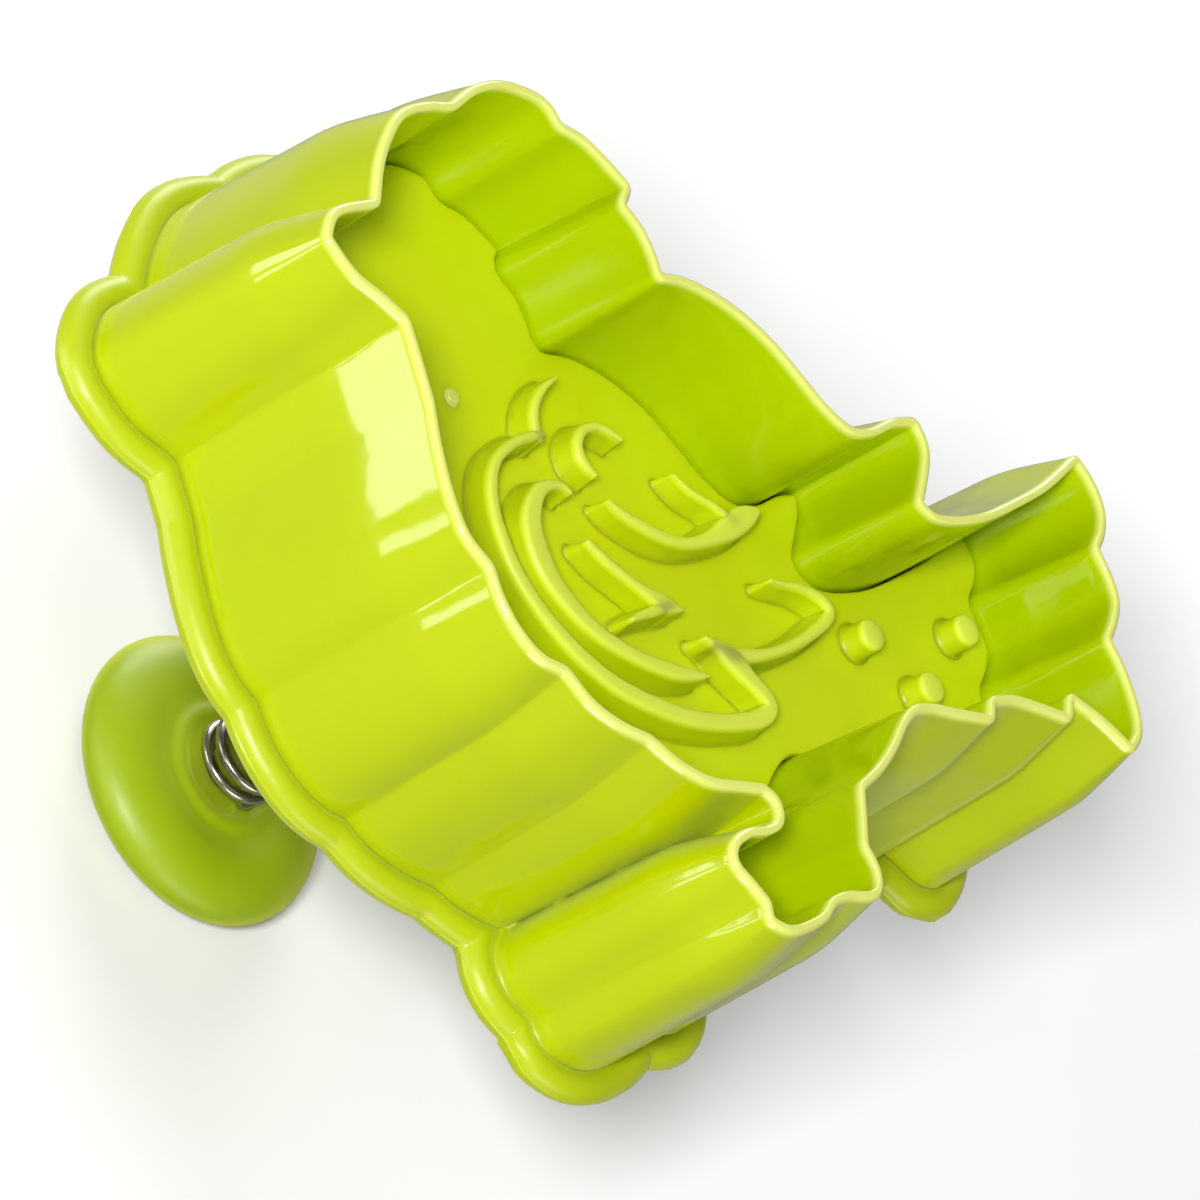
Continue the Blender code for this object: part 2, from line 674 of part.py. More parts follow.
def make_stem(collection):
    """The stem: a shoulder at each end, and a pin that is pressed into the button or the stamp."""
    low_shoulder = BUTTON_THICKNESS + SEAT_GAP
    high_shoulder = BOSS_BOTTOM - SEAT_GAP
    low_end = BUTTON_SOCKET_FLOOR + SEAT_GAP
    high_end = BOSS_BOTTOM + SOCKET_DEPTH - SEAT_GAP
    profile = [
        (0.0, low_end),
        (STEM_PIN_RADIUS - STEM_CHAMFER, low_end),
        (STEM_PIN_RADIUS, low_end + STEM_CHAMFER),
        (STEM_PIN_RADIUS, low_shoulder),
        (STEM_RADIUS, low_shoulder),
        (STEM_RADIUS, high_shoulder),
        (STEM_PIN_RADIUS, high_shoulder),
        (STEM_PIN_RADIUS, high_end - STEM_CHAMFER),
        (STEM_PIN_RADIUS - STEM_CHAMFER, high_end),
        (0.0, high_end),
    ]
    return turned("plunger_stem", profile, collection)


def make_button(collection):
    """The button: flat outside, round edge, and a hub ring on a slightly dished inner face."""
    edge = BUTTON_RADIUS - BUTTON_FLAT_RADIUS
    middle = BUTTON_THICKNESS / 2
    turns = np.radians(np.linspace(-90, 90, 11))
    ring_top = BUTTON_THICKNESS + HUB_RING_HEIGHT
    ring_inner = HUB_RING_RADIUS - HUB_RING_WALL
    dish = BUTTON_THICKNESS - BUTTON_DISH_DEPTH
    profile = [(0.0, 0.0)]
    profile += [
        (BUTTON_FLAT_RADIUS + edge * math.cos(a), middle + middle * math.sin(a)) for a in turns
    ]
    profile += [
        (BUTTON_DISH_RADIUS - BUTTON_DISH_DEPTH, BUTTON_THICKNESS - BUTTON_DISH_DEPTH / 3),
        (HUB_RING_RADIUS + BUTTON_DISH_DEPTH, dish),
        (HUB_RING_RADIUS, dish),
        (HUB_RING_RADIUS, ring_top - HUB_RING_ROUND),
        (HUB_RING_RADIUS - HUB_RING_ROUND, ring_top),
        (ring_inner + HUB_RING_ROUND, ring_top),
        (ring_inner, ring_top - HUB_RING_ROUND),
        (ring_inner, BUTTON_THICKNESS),
        (SOCKET_RADIUS, BUTTON_THICKNESS),
        (SOCKET_RADIUS, BUTTON_SOCKET_FLOOR),
        (0.0, BUTTON_SOCKET_FLOOR),
    ]
    return turned("button", profile, collection, steps=48)


def make_spring(collection):
    """One unbroken wire. It rises slowly in the end curls, which nearly close, and faster between them."""
    low = BUTTON_THICKNESS + SEAT_GAP + WIRE_RADIUS
    high = COLLAR_BOTTOM - SEAT_GAP - WIRE_RADIUS
    count = SPRING_TURNS * SPRING_POINTS_PER_TURN + 1
    share = np.linspace(0.0, 1.0, count)
    angle = 2 * math.pi * SPRING_TURNS * share
    eased = share - END_CLOSING_SHARE * np.sin(2 * math.pi * share) / (2 * math.pi)
    height = low + (high - low) * eased
    rise = height[SPRING_POINTS_PER_TURN:] - height[:-SPRING_POINTS_PER_TURN]
    curve = bpy.data.curves.new("return_spring", "CURVE")
    curve.dimensions = "3D"
    curve.bevel_depth = WIRE_RADIUS
    curve.bevel_resolution = 1
    curve.use_fill_caps = True
    wire = curve.splines.new("POLY")
    wire.points.add(count - 1)
    for point, turn, z in zip(wire.points, angle, height):
        point.co = (SPRING_RADIUS * math.cos(turn), SPRING_RADIUS * math.sin(turn), z, 1.0)
    least_gap = rise.min() - 2 * WIRE_RADIUS
    print(f"return_spring: least gap between curls {least_gap * 1000:.2f} mm")
    return place("return_spring", curve, collection)


def main():
    clear_scene()
    part = new_collection(PART_NAME)
    helpers = new_collection("helpers", is_helper=True)
    details = new_collection("stamp_details", is_helper=True)
    outline = Outline()
    print(f"outline: {len(outline.points)} points")
    finishes = {
        make_cutter_body(outline, part, helpers): ("cutter_lime", (0.56, 0.72, 0.02), 0.30, 0.0),
        make_stamp(outline, part, helpers, details): ("stamp_lime", (0.58, 0.73, 0.03), 0.34, 0.0),
        make_stem(part): ("stem_lime", (0.54, 0.70, 0.02), 0.34, 0.0),
        make_button(part): ("button_lime", (0.56, 0.72, 0.02), 0.28, 0.0),
        make_spring(part): ("spring_steel", (0.62, 0.61, 0.58), 0.25, 1.0),
    }
    for item, finish in finishes.items():
        item.data.materials.append(plain_material(*finish))


if __name__ == "__main__":
    main()
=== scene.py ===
"""Looks of a lime green plunger cutter.

A thin wall follows the outline of a hen, and a sprung stamp with a push button slides inside it.

Metres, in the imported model's frame: +Z runs from the button to the cutting edge, -X points to the
beak and +Y to the comb. Each visible piece is built finer than the solids and rides on its body.
"""

from __future__ import annotations

import logging
import math
from collections.abc import Iterable, Sequence
from dataclasses import dataclass, field
from enum import Enum

import bmesh
import bpy
import numpy as np
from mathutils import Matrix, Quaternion, Vector

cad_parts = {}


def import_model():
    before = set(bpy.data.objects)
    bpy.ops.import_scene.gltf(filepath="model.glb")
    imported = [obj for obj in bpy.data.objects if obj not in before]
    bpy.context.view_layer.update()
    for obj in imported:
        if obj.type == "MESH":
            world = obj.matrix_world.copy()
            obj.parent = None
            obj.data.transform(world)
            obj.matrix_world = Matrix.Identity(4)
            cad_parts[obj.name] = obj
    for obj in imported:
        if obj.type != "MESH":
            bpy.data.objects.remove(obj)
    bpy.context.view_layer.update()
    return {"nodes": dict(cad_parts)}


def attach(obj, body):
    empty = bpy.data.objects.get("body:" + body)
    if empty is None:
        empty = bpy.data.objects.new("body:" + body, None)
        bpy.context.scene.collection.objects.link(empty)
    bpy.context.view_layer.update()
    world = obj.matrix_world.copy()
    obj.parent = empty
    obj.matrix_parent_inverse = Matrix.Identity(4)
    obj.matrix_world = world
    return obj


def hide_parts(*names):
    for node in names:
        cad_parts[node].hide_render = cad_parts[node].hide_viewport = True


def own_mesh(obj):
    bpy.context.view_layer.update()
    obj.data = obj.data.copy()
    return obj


LOG = logging.getLogger("plunger_cutter")
MM = 0.001

# Points nearer to each other than the first are one, and an edge shorter than the second goes
MERGE_DISTANCE = 1e-6
SHORTEST_EDGE = 1e-7

# Runs whose cross product is below the first are parallel, and a share of a run below the second
# is its start
PARALLEL = 1e-16
TOUCHING = 1e-6

# Sockets of a mix node's colours, whose names it repeats for other kinds of value
MIX_SHARE, MIX_FIRST, MIX_SECOND, MIX_RESULT = 0, 6, 7, 2

# How many waves an unevenness is made of, how many times finer its last is than its first, and
# what brings their sum to about 1
WOBBLE_PARTS = 12
WOBBLE_RANGE = 6
WOBBLE_SIZE = 3.5

# Place of a piece's second finish
SECOND_FINISH = 1

# The outline's table holds thousandths of its length, and the raised lines' tables ten-thousandths
THOUSAND = 1000
TEN_THOUSAND = 10000

Span = tuple[float, float]
Shares = tuple[Span, ...]
Point = tuple[float, float, float]
Socket = bpy.types.NodeSocket
Values = dict[str | int, object]
Links = dict[str | int, Socket]
Ring = list[bmesh.types.BMVert]


class Body(Enum):
    """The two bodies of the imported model."""

    CUTTER = "cutter"
    PLUNGER = "plunger"


class Slot(Enum):
    """The record's material slots."""

    PLASTIC = "lime_plastic"
    STEEL = "spring_steel"


def linear(hex_colour: str) -> tuple[float, float, float, float]:
    """Turn an sRGB hex colour to the linear values that a shader takes.

    Args:
        hex_colour: Six hex digits after a hash sign.

    Returns:
        Linear red, green, blue and an alpha of 1.
    """
    parts = [int(hex_colour[i : i + 2], 16) / 255 for i in (1, 3, 5)]
    red, green, blue = (p / 12.92 if p <= 0.04045 else ((p + 0.055) / 1.055) ** 2.4 for p in parts)
    return red, green, blue, 1.0


def per_metre(size_mm: float) -> float:
    """Scale of a pattern whose marks are this many millimetres apart, for object coordinates."""
    return 1.0 / (size_mm * MM)


class Nodes:
    """Fills a node tree."""

    def __init__(self, tree: bpy.types.NodeTree) -> None:
        """Empty the tree."""
        self.tree = tree
        tree.nodes.clear()

    def add(
        self,
        kind: str,
        values: Values | None = None,
        links: Links | None = None,
        **settings: object,
    ) -> bpy.types.Node:
        """Add a node with its settings, socket values and incoming links.

        Args:
            kind: The node's type name.
            values: Values for input sockets, by name or place.
            links: Output sockets of other nodes, by the input they feed.
            **settings: Properties of the node itself.

        Returns:
            The new node.
        """
        node = self.tree.nodes.new(kind)
        for name, setting in settings.items():
            setattr(node, name, setting)
        for socket, value in (values or {}).items():
            node.inputs[socket].default_value = value
        for socket, source in (links or {}).items():
            self.tree.links.new(source, node.inputs[socket])
        return node

    def noise(
        self, vector: Socket, scale: float, detail: float = 2.0, roughness: float = 0.5
    ) -> Socket:
        """Add a noise pattern.

        Args:
            vector: Where the pattern is read.
            scale: How many marks there are to a unit of the vector.
            detail: How many finer layers the pattern has.
            roughness: How strong those layers are.

        Returns:
            The pattern's value.
        """
        values = {"Scale": scale, "Detail": detail, "Roughness": roughness}
        return self.add("ShaderNodeTexNoise", values, {"Vector": vector}).outputs["Fac"]

    def ramp(
        self,
        value: Socket,
        given: Span = (0.0, 1.0),
        wanted: Span = (0.0, 1.0),
        is_soft: bool = True,
    ) -> Socket:
        """Map one span of values to another.

        Args:
            value: The value to map.
            given: The span that it lies in.
            wanted: The span that it is mapped to.
            is_soft: Whether the ends of the span are eased.

        Returns:
            The mapped value.
        """
        spans = dict(zip(("From Min", "From Max", "To Min", "To Max"), (*given, *wanted)))
        kind = "SMOOTHSTEP" if is_soft else "LINEAR"
        node = self.add("ShaderNodeMapRange", spans, {"Value": value}, interpolation_type=kind)
        return node.outputs["Result"]

    def calculate(self, operation: str, first: Socket, second: Socket) -> Socket:
        """Work out a value from two others, by the math node's operation of that name."""
        links = {0: first, 1: second}
        return self.add("ShaderNodeMath", links=links, operation=operation).outputs[0]

    def blend(self, share: Socket, first: Socket | str, second: str) -> Socket:
        """Mix two colours.

        Args:
            share: The second colour's share.
            first: A colour's socket, or six hex digits after a hash sign.
            second: Six hex digits after a hash sign.

        Returns:
            The mixed colour.
        """
        values: Values = {MIX_SECOND: linear(second)}
        links: Links = {MIX_SHARE: share}
        if isinstance(first, str):
            values[MIX_FIRST] = linear(first)
        else:
            links[MIX_FIRST] = first
        return self.add("ShaderNodeMix", values, links, data_type="RGBA").outputs[MIX_RESULT]

    def bumps(
        self, height: Socket, strength: float, depth_mm: float, normal: Socket | None = None
    ) -> Socket:
        """Turn a pattern into unevenness of the surface.

        Args:
            height: The pattern.
            strength: How strongly it shows.
            depth_mm: How deep it is, in millimetres.
            normal: Unevenness that it is added to.

        Returns:
            The uneven normal.
        """
        links: Links = {"Height": height}
        if normal is not None:
            links["Normal"] = normal
        values = {"Strength": strength, "Distance": depth_mm * MM}
        return self.add("ShaderNodeBump", values, links).outputs["Normal"]

    def finish(self, values: Values, colour: Socket, roughness: Socket, normal: Socket) -> None:
        """Add the surface and the material's output.

        Args:
            values: The surface's plain values.
            colour: Its colour.
            roughness: Its roughness.
            normal: Its normal.
        """
        links = {"Base Color": colour, "Roughness": roughness, "Normal": normal}
        shader = self.add("ShaderNodeBsdfPrincipled", values, links)
        self.add("ShaderNodeOutputMaterial", links={"Surface": shader.outputs["BSDF"]})


def empty_material(name: str) -> tuple[bpy.types.Material, Nodes]:
    """Make a material whose node tree holds nothing yet."""
    material = bpy.data.materials.new(name)
    material.use_nodes = True
    return material, Nodes(material.node_tree)


# ---- Finishes


@dataclass(frozen=True)
class MouldedAbs:
    """ABS, injection moulded in a polished mould and left as it came out.

    The eye gets a bright self-coloured lime with soft gloss and a faint orange peel in the
    reflections. Thin crests are mixed paler as a painted glow, round edges that turn away get a
    painted sheen, and the sides of raised lines a painted shade. A band whose heights lie above
    the cutter doesn't show.
    """

    name: str
    roughness: float
    roughness_spread: float
    lime_hex: str
    deep_lime_hex: str
    ior: float = 1.53
    glow_weight: float = 0.22
    glow_depth_mm: float = 1.6
    wave_mm: float = 8.0
    wave_height_mm: float = 0.15
    shade_patch_mm: float = 16.0
    smear_mm: float = 5.0
    peel_mm: float = 1.1
    peel_height_mm: float = 0.006
    rim_top_mm: float = 0.0
    rim_roughness: float = 0.0
    crest_glow_mm: Span = (90.0, 91.0)
    crest_glow_share: float = 0.0
    glow_and_sheen_hex: str = "#F0F58C"
    flank_shade_mm: Span = (90.0, 91.0)
    flank_shade_hex: str = "#9FAE00"
    flank_shade_blend_mm: float = 0.2
    edge_sheen_share: float = 0.0
    edge_sheen_start: float = 0.45
    edge_sheen_full: float = 0.95
    smear_span: Span = (0.3, 0.7)
    rim_blend_mm: float = 0.4
    peel_strength: float = 0.35
    glow_radius: Point = (1.0, 1.0, 0.25)

    def build(self) -> bpy.types.Material:
        """Build the plastic's shader.

        Returns:
            The material.
        """
        material, nodes = empty_material(self.name)
        place = nodes.add("ShaderNodeTexCoord").outputs["Object"]
        height = nodes.add("ShaderNodeSeparateXYZ", links={0: place}).outputs["Z"]
        # The pigment is mixed in pellets, so its shade drifts slowly over the moulding.
        patches = nodes.noise(place, per_metre(self.shade_patch_mm), roughness=0.4)
        colour = nodes.blend(patches, self.lime_hex, self.deep_lime_hex)
        # Painted shade: the sides of the stamp's lines are mixed a deeper lime than its flat face,
        # as if they stood in shade.
        near = self.flank_shade_blend_mm
        low, high = (
            nodes.ramp(height, ((border - near) * MM, (border + near) * MM))
            for border in self.flank_shade_mm
        )
        colour = nodes.blend(nodes.calculate("SUBTRACT", low, high), colour, self.flank_shade_hex)
        # Painted glow and highlight: a crest is mixed paler, standing in for light that passes into
        # a thin crest from both sides and for the highlight along the tops of the stamp's lines.
        start, full = (border * MM for border in self.crest_glow_mm)
        crest = nodes.ramp(height, (start, full), (0.0, self.crest_glow_share))
        colour = nodes.blend(crest, colour, self.glow_and_sheen_hex)
        # Painted sheen: the colour is also mixed paler where a round edge turns away from the eye.
        turned = nodes.add("ShaderNodeLayerWeight", {"Blend": 0.5}).outputs["Facing"]
        edge = nodes.ramp(turned, (self.edge_sheen_start, self.edge_sheen_full), (0.0, self.edge_sheen_share))
        colour = nodes.blend(edge, colour, self.glow_and_sheen_hex)
        # Handling and mould release leave the gloss a little uneven.
        smears = nodes.noise(place, per_metre(self.smear_mm), 4.0, 0.6)
        spread = self.roughness_spread
        span = (self.roughness - spread, self.roughness + spread)
        gloss = nodes.ramp(smears, self.smear_span, span, is_soft=False)
        # The two halves of the mould meet at the flange, whose steel isn't polished.
        rim_span = (self.rim_top_mm * MM, (self.rim_top_mm - self.rim_blend_mm) * MM)
        rim = nodes.ramp(height, rim_span, (0.0, self.rim_roughness))
        gloss = nodes.calculate("ADD", gloss, rim)
        # Real orange peel is finer than this. It is drawn as coarse as it needs to show.
        peel = nodes.noise(place, per_metre(self.peel_mm))
        normal = nodes.bumps(peel, self.peel_strength, self.peel_height_mm)
        # The wall sinks a little as it cools, which bends its reflections.
        waves = nodes.noise(place, per_metre(self.wave_mm), 3.0)
        normal = nodes.bumps(waves, 1.0, self.wave_height_mm, normal)
        values = {
            "IOR": self.ior,
            "Subsurface Weight": self.glow_weight,
            "Subsurface Radius": self.glow_radius,
            "Subsurface Scale": self.glow_depth_mm * MM,
        }
        nodes.finish(values, colour, gloss, normal)
        return material


@dataclass(frozen=True)
class DrawnSpringSteel:
    """Stainless spring steel wire, drawn through a die and coiled.

    The eye gets a bright neutral metal with fine lines along the wire, which stretch each highlight
    along the curl, and slightly darker patches where the coiling tool rubbed it.
    """

    name: str = "spring_steel_drawn_wire"
    bright_hex: str = "#BDB5AC"
    rubbed_hex: str = "#6A6058"
    roughness: float = 0.24
    line_mm: float = 0.12
    line_length_mm: float = 6.0
    patch_mm: float = 2.5
    patch_span: Span = (0.45, 0.75)
    smoother: float = 0.06
    rougher: float = 0.10
    line_strength: float = 0.3
    line_depth_mm: float = 0.01

    def build(self) -> bpy.types.Material:
        """Build the wire's shader, whose UV map runs along the wire in metres.

        Returns:
            The material.
        """
        material, nodes = empty_material(self.name)
        along_wire = nodes.add("ShaderNodeUVMap", uv_map="wire").outputs["UV"]
        scale = (per_metre(self.line_length_mm), per_metre(self.line_mm), 1.0)
        stretch = nodes.add("ShaderNodeMapping", {"Scale": scale}, {"Vector": along_wire})
        # The mapping holds the scale, so the pattern itself has none.
        lines = nodes.noise(stretch.outputs["Vector"], 1.0)
        place = nodes.add("ShaderNodeTexCoord").outputs["Object"]
        patches = nodes.noise(place, per_metre(self.patch_mm))
        share = nodes.ramp(patches, self.patch_span, is_soft=False)
        colour = nodes.blend(share, self.bright_hex, self.rubbed_hex)
        span = (self.roughness - self.smoother, self.roughness + self.rougher)
        gloss = nodes.ramp(lines, wanted=span, is_soft=False)
        normal = nodes.bumps(lines, self.line_strength, self.line_depth_mm)
        nodes.finish({"Metallic": 1.0}, colour, gloss, normal)
        return material


@dataclass(frozen=True)
class MattStudioFloor:
    """White painted board, rolled matt.

    The eye gets plain white with the cutter's soft shadow. Away from the shadow the board glows a
    little for the camera alone, over a reach that was fitted to the photograph's view.
    """

    name: str = "white_board_matt_paint"
    white_hex: str = "#FCFCFC"
    bounce_hex: str = "#A4A4A4"
    mirrored_hex: str = "#8C8C8C"
    lift: float = 0.18
    shadow_centre: Point = (0.060, 0.0, 0.0)
    shadow_reach: Span = (0.070, 0.120)

    def build(self) -> bpy.types.Material:
        """Build the floor's shader: paint, and a lift that only the camera sees.

        Returns:
            The material.
        """
        material, nodes = empty_material(self.name)
        rays = nodes.add("ShaderNodeLightPath").outputs
        place = nodes.add("ShaderNodeTexCoord").outputs["Object"]
        away = nodes.add(
            "ShaderNodeVectorMath", {1: self.shadow_centre}, {0: place}, operation="DISTANCE"
        )
        # The lift starts where the shadow ends, so the shadow keeps its depth.
        share = nodes.ramp(away.outputs["Value"], self.shadow_reach, (0.0, self.lift))
        lift = nodes.calculate("MULTIPLY", rays["Is Camera Ray"], share)
        colour = nodes.blend(rays["Is Glossy Ray"], self.bounce_hex, self.mirrored_hex)
        colour = nodes.blend(rays["Is Camera Ray"], colour, self.white_hex)
        paint = nodes.add("ShaderNodeBsdfDiffuse", links={"Color": colour})
        white = {"Color": linear("#FFFFFF")}
        glow = nodes.add("ShaderNodeEmission", white, {"Strength": lift})
        shaders = {0: paint.outputs[0], 1: glow.outputs[0]}
        both = nodes.add("ShaderNodeAddShader", links=shaders)
        nodes.add("ShaderNodeOutputMaterial", links={"Surface": both.outputs[0]})
        return material


# ---- Lines and meshes


def smooth_line(points: np.ndarray, step: float) -> np.ndarray:
    """Draw a smooth line through all the points.

    Args:
        points: Points in order, one row each.
        step: About how far apart the line's samples are.

    Returns:
        The samples, one row each.
    """
    ends = np.vstack([2 * points[0] - points[1], points, 2 * points[-1] - points[-2]])
    line = []
    for before, start, end, after in zip(ends[:-3], ends[1:-2], ends[2:-1], ends[3:]):
        span = np.linalg.norm(end - start)
        leave = (end - before) * span / max(np.linalg.norm(end - before), span)
        arrive = (after - start) * span / max(np.linalg.norm(after - start), span)
        count = max(2, round(span / step))
        t = np.arange(count)[:, None] / count
        line.append(
            (2 * t**3 - 3 * t**2 + 1) * start
            + (t**3 - 2 * t**2 + t) * leave
            + (3 * t**2 - 2 * t**3) * end
            + (t**3 - t**2) * arrive
        )
    line.append(points[-1:])
    return np.vstack(line)


def points_at(places: np.ndarray, along: np.ndarray, line: np.ndarray) -> np.ndarray:
    """Points at places along a plan line, whose own points lie that far along it."""
    return np.stack([np.interp(places, along, line[:, axis]) for axis in (0, 1)], axis=1)


def resampled(line: np.ndarray, step: float) -> tuple[np.ndarray, np.ndarray, np.ndarray]:
    """Sample a closed plan line evenly.

    Args:
        line: The line's points, of which some can lie drawn together.
        step: About how far apart the samples are.

    Returns:
        How far along each point lies, ending with the whole length, then how far along each
        sample lies, then the samples.
    """
    gaps = np.linalg.norm(np.roll(line, -1, axis=0) - line, axis=1)
    along = np.concatenate([[0.0], np.cumsum(gaps)])
    even = np.linspace(0.0, along[-1], round(along[-1] / step), endpoint=False)
    return along, even, points_at(even, along, np.vstack([line, line[:1]]))


def cross(first: np.ndarray, second: np.ndarray) -> np.ndarray:
    """Cross product of plan vectors."""
    return first[..., 0] * second[..., 1] - first[..., 1] * second[..., 0]


def arc(
    centre: Span, radius: float, start: float, end: float, count: int
) -> list[Span]:
    """Points on an arc in a section.

    Args:
        centre: Centre, as (outwards, height).
        radius: Radius.
        start: First angle, in degrees from outwards.
        end: Last angle, in degrees.
        count: How many points.

    Returns:
        The points, as (outwards, height).
    """
    angles = np.radians(np.linspace(start, end, count))
    return [(centre[0] + radius * math.cos(a), centre[1] + radius * math.sin(a)) for a in angles]


class MeshMaker:
    """Gathers rings of points into one mesh."""

    def __init__(self) -> None:
        """Start with no points."""
        self.shape = bmesh.new()

    def ring(self, points: Iterable[Sequence[float]]) -> Ring:
        """Add the points of one ring."""
        return [self.shape.verts.new(point) for point in points]

    def skin(self, rings: Sequence[Sequence[Sequence[float]]]) -> list[Ring]:
        """Join rings of as many points each with strips of faces.

        Args:
            rings: The rings in order, each a closed run of points.

        Returns:
            The first and the last ring's vertices.
        """
        rows = [self.ring(points) for points in rings]
        count = len(rows[0])
        for low, high in zip(rows, rows[1:]):
            for i in range(count):
                j = (i + 1) % count
                self.shape.faces.new((low[i], low[j], high[j], high[i]))
        return [rows[0], rows[-1]]

    def cap(self, first: Ring, last: Ring) -> None:
        """Close a run of rings at both ends."""
        self.shape.faces.new(first)
        self.shape.faces.new(last[::-1])

    def merge(self) -> None:
        """Make points that lie together one."""
        bmesh.ops.remove_doubles(self.shape, verts=self.shape.verts, dist=MERGE_DISTANCE)

    def fill(self, *rings: Sequence[bmesh.types.BMVert]) -> None:
        """Fill a flat area bounded by one ring, or lying between two, after a merge."""
        edges = []
        for ring in ([vert for vert in ring if vert.is_valid] for ring in rings):
            for i, vert in enumerate(ring):
                following = ring[(i + 1) % len(ring)]
                edge = self.shape.edges.get((vert, following))
                if edge is None and vert is not following:
                    edge = self.shape.edges.new((vert, following))
                edges.append(edge)
        bmesh.ops.triangle_fill(self.shape, use_beauty=True, use_dissolve=False, edges=edges)

    def finish(self, name: str, sharp_degrees: float) -> bpy.types.Object:
        """Clean the mesh and put it in the scene, smooth but for its sharp edges.

        Args:
            name: The piece's name.
            sharp_degrees: An edge that turns by more than this stays sharp.

        Returns:
            The new object.
        """
        self.merge()
        edges = self.shape.edges
        bmesh.ops.dissolve_degenerate(self.shape, edges=edges, dist=SHORTEST_EDGE)
        bmesh.ops.recalc_face_normals(self.shape, faces=self.shape.faces)
        mesh = bpy.data.meshes.new(name)
        self.shape.to_mesh(mesh)
        self.shape.free()
        mesh.shade_smooth()
        mesh.set_sharp_from_angle(angle=math.radians(sharp_degrees))
        piece = bpy.data.objects.new(name, mesh)
        bpy.context.scene.collection.objects.link(piece)
        return piece


def circle(radius: float, height: float, count: int, centre: Span = (0.0, 0.0)) -> list[Point]:
    """Points of a level circle.

    Args:
        radius: Its radius.
        height: Its height.
        count: How many points.
        centre: Its centre in plan.

    Returns:
        The points.
    """
    turns = np.linspace(0, 2 * math.pi, count, endpoint=False)
    x, y = centre
    return [(x + radius * math.cos(t), y + radius * math.sin(t), height) for t in turns]


def wobble(share: np.ndarray, seed: int, waves: int) -> np.ndarray:
    """A smooth repeating unevenness along a closed line.

    Args:
        share: How far along the line, from 0 to 1.
        seed: Picks one fixed unevenness.
        waves: How many waves the finest part has.

    Returns:
        Values of about -1 to 1.
    """
    chance = np.random.default_rng(seed)
    total = np.zeros_like(share)
    for number in np.linspace(waves / WOBBLE_RANGE, waves, WOBBLE_PARTS).astype(int):
        total += np.sin(2 * math.pi * (number * share + chance.random())) / WOBBLE_SIZE
    return total


# ---- The cutter's shape in plan


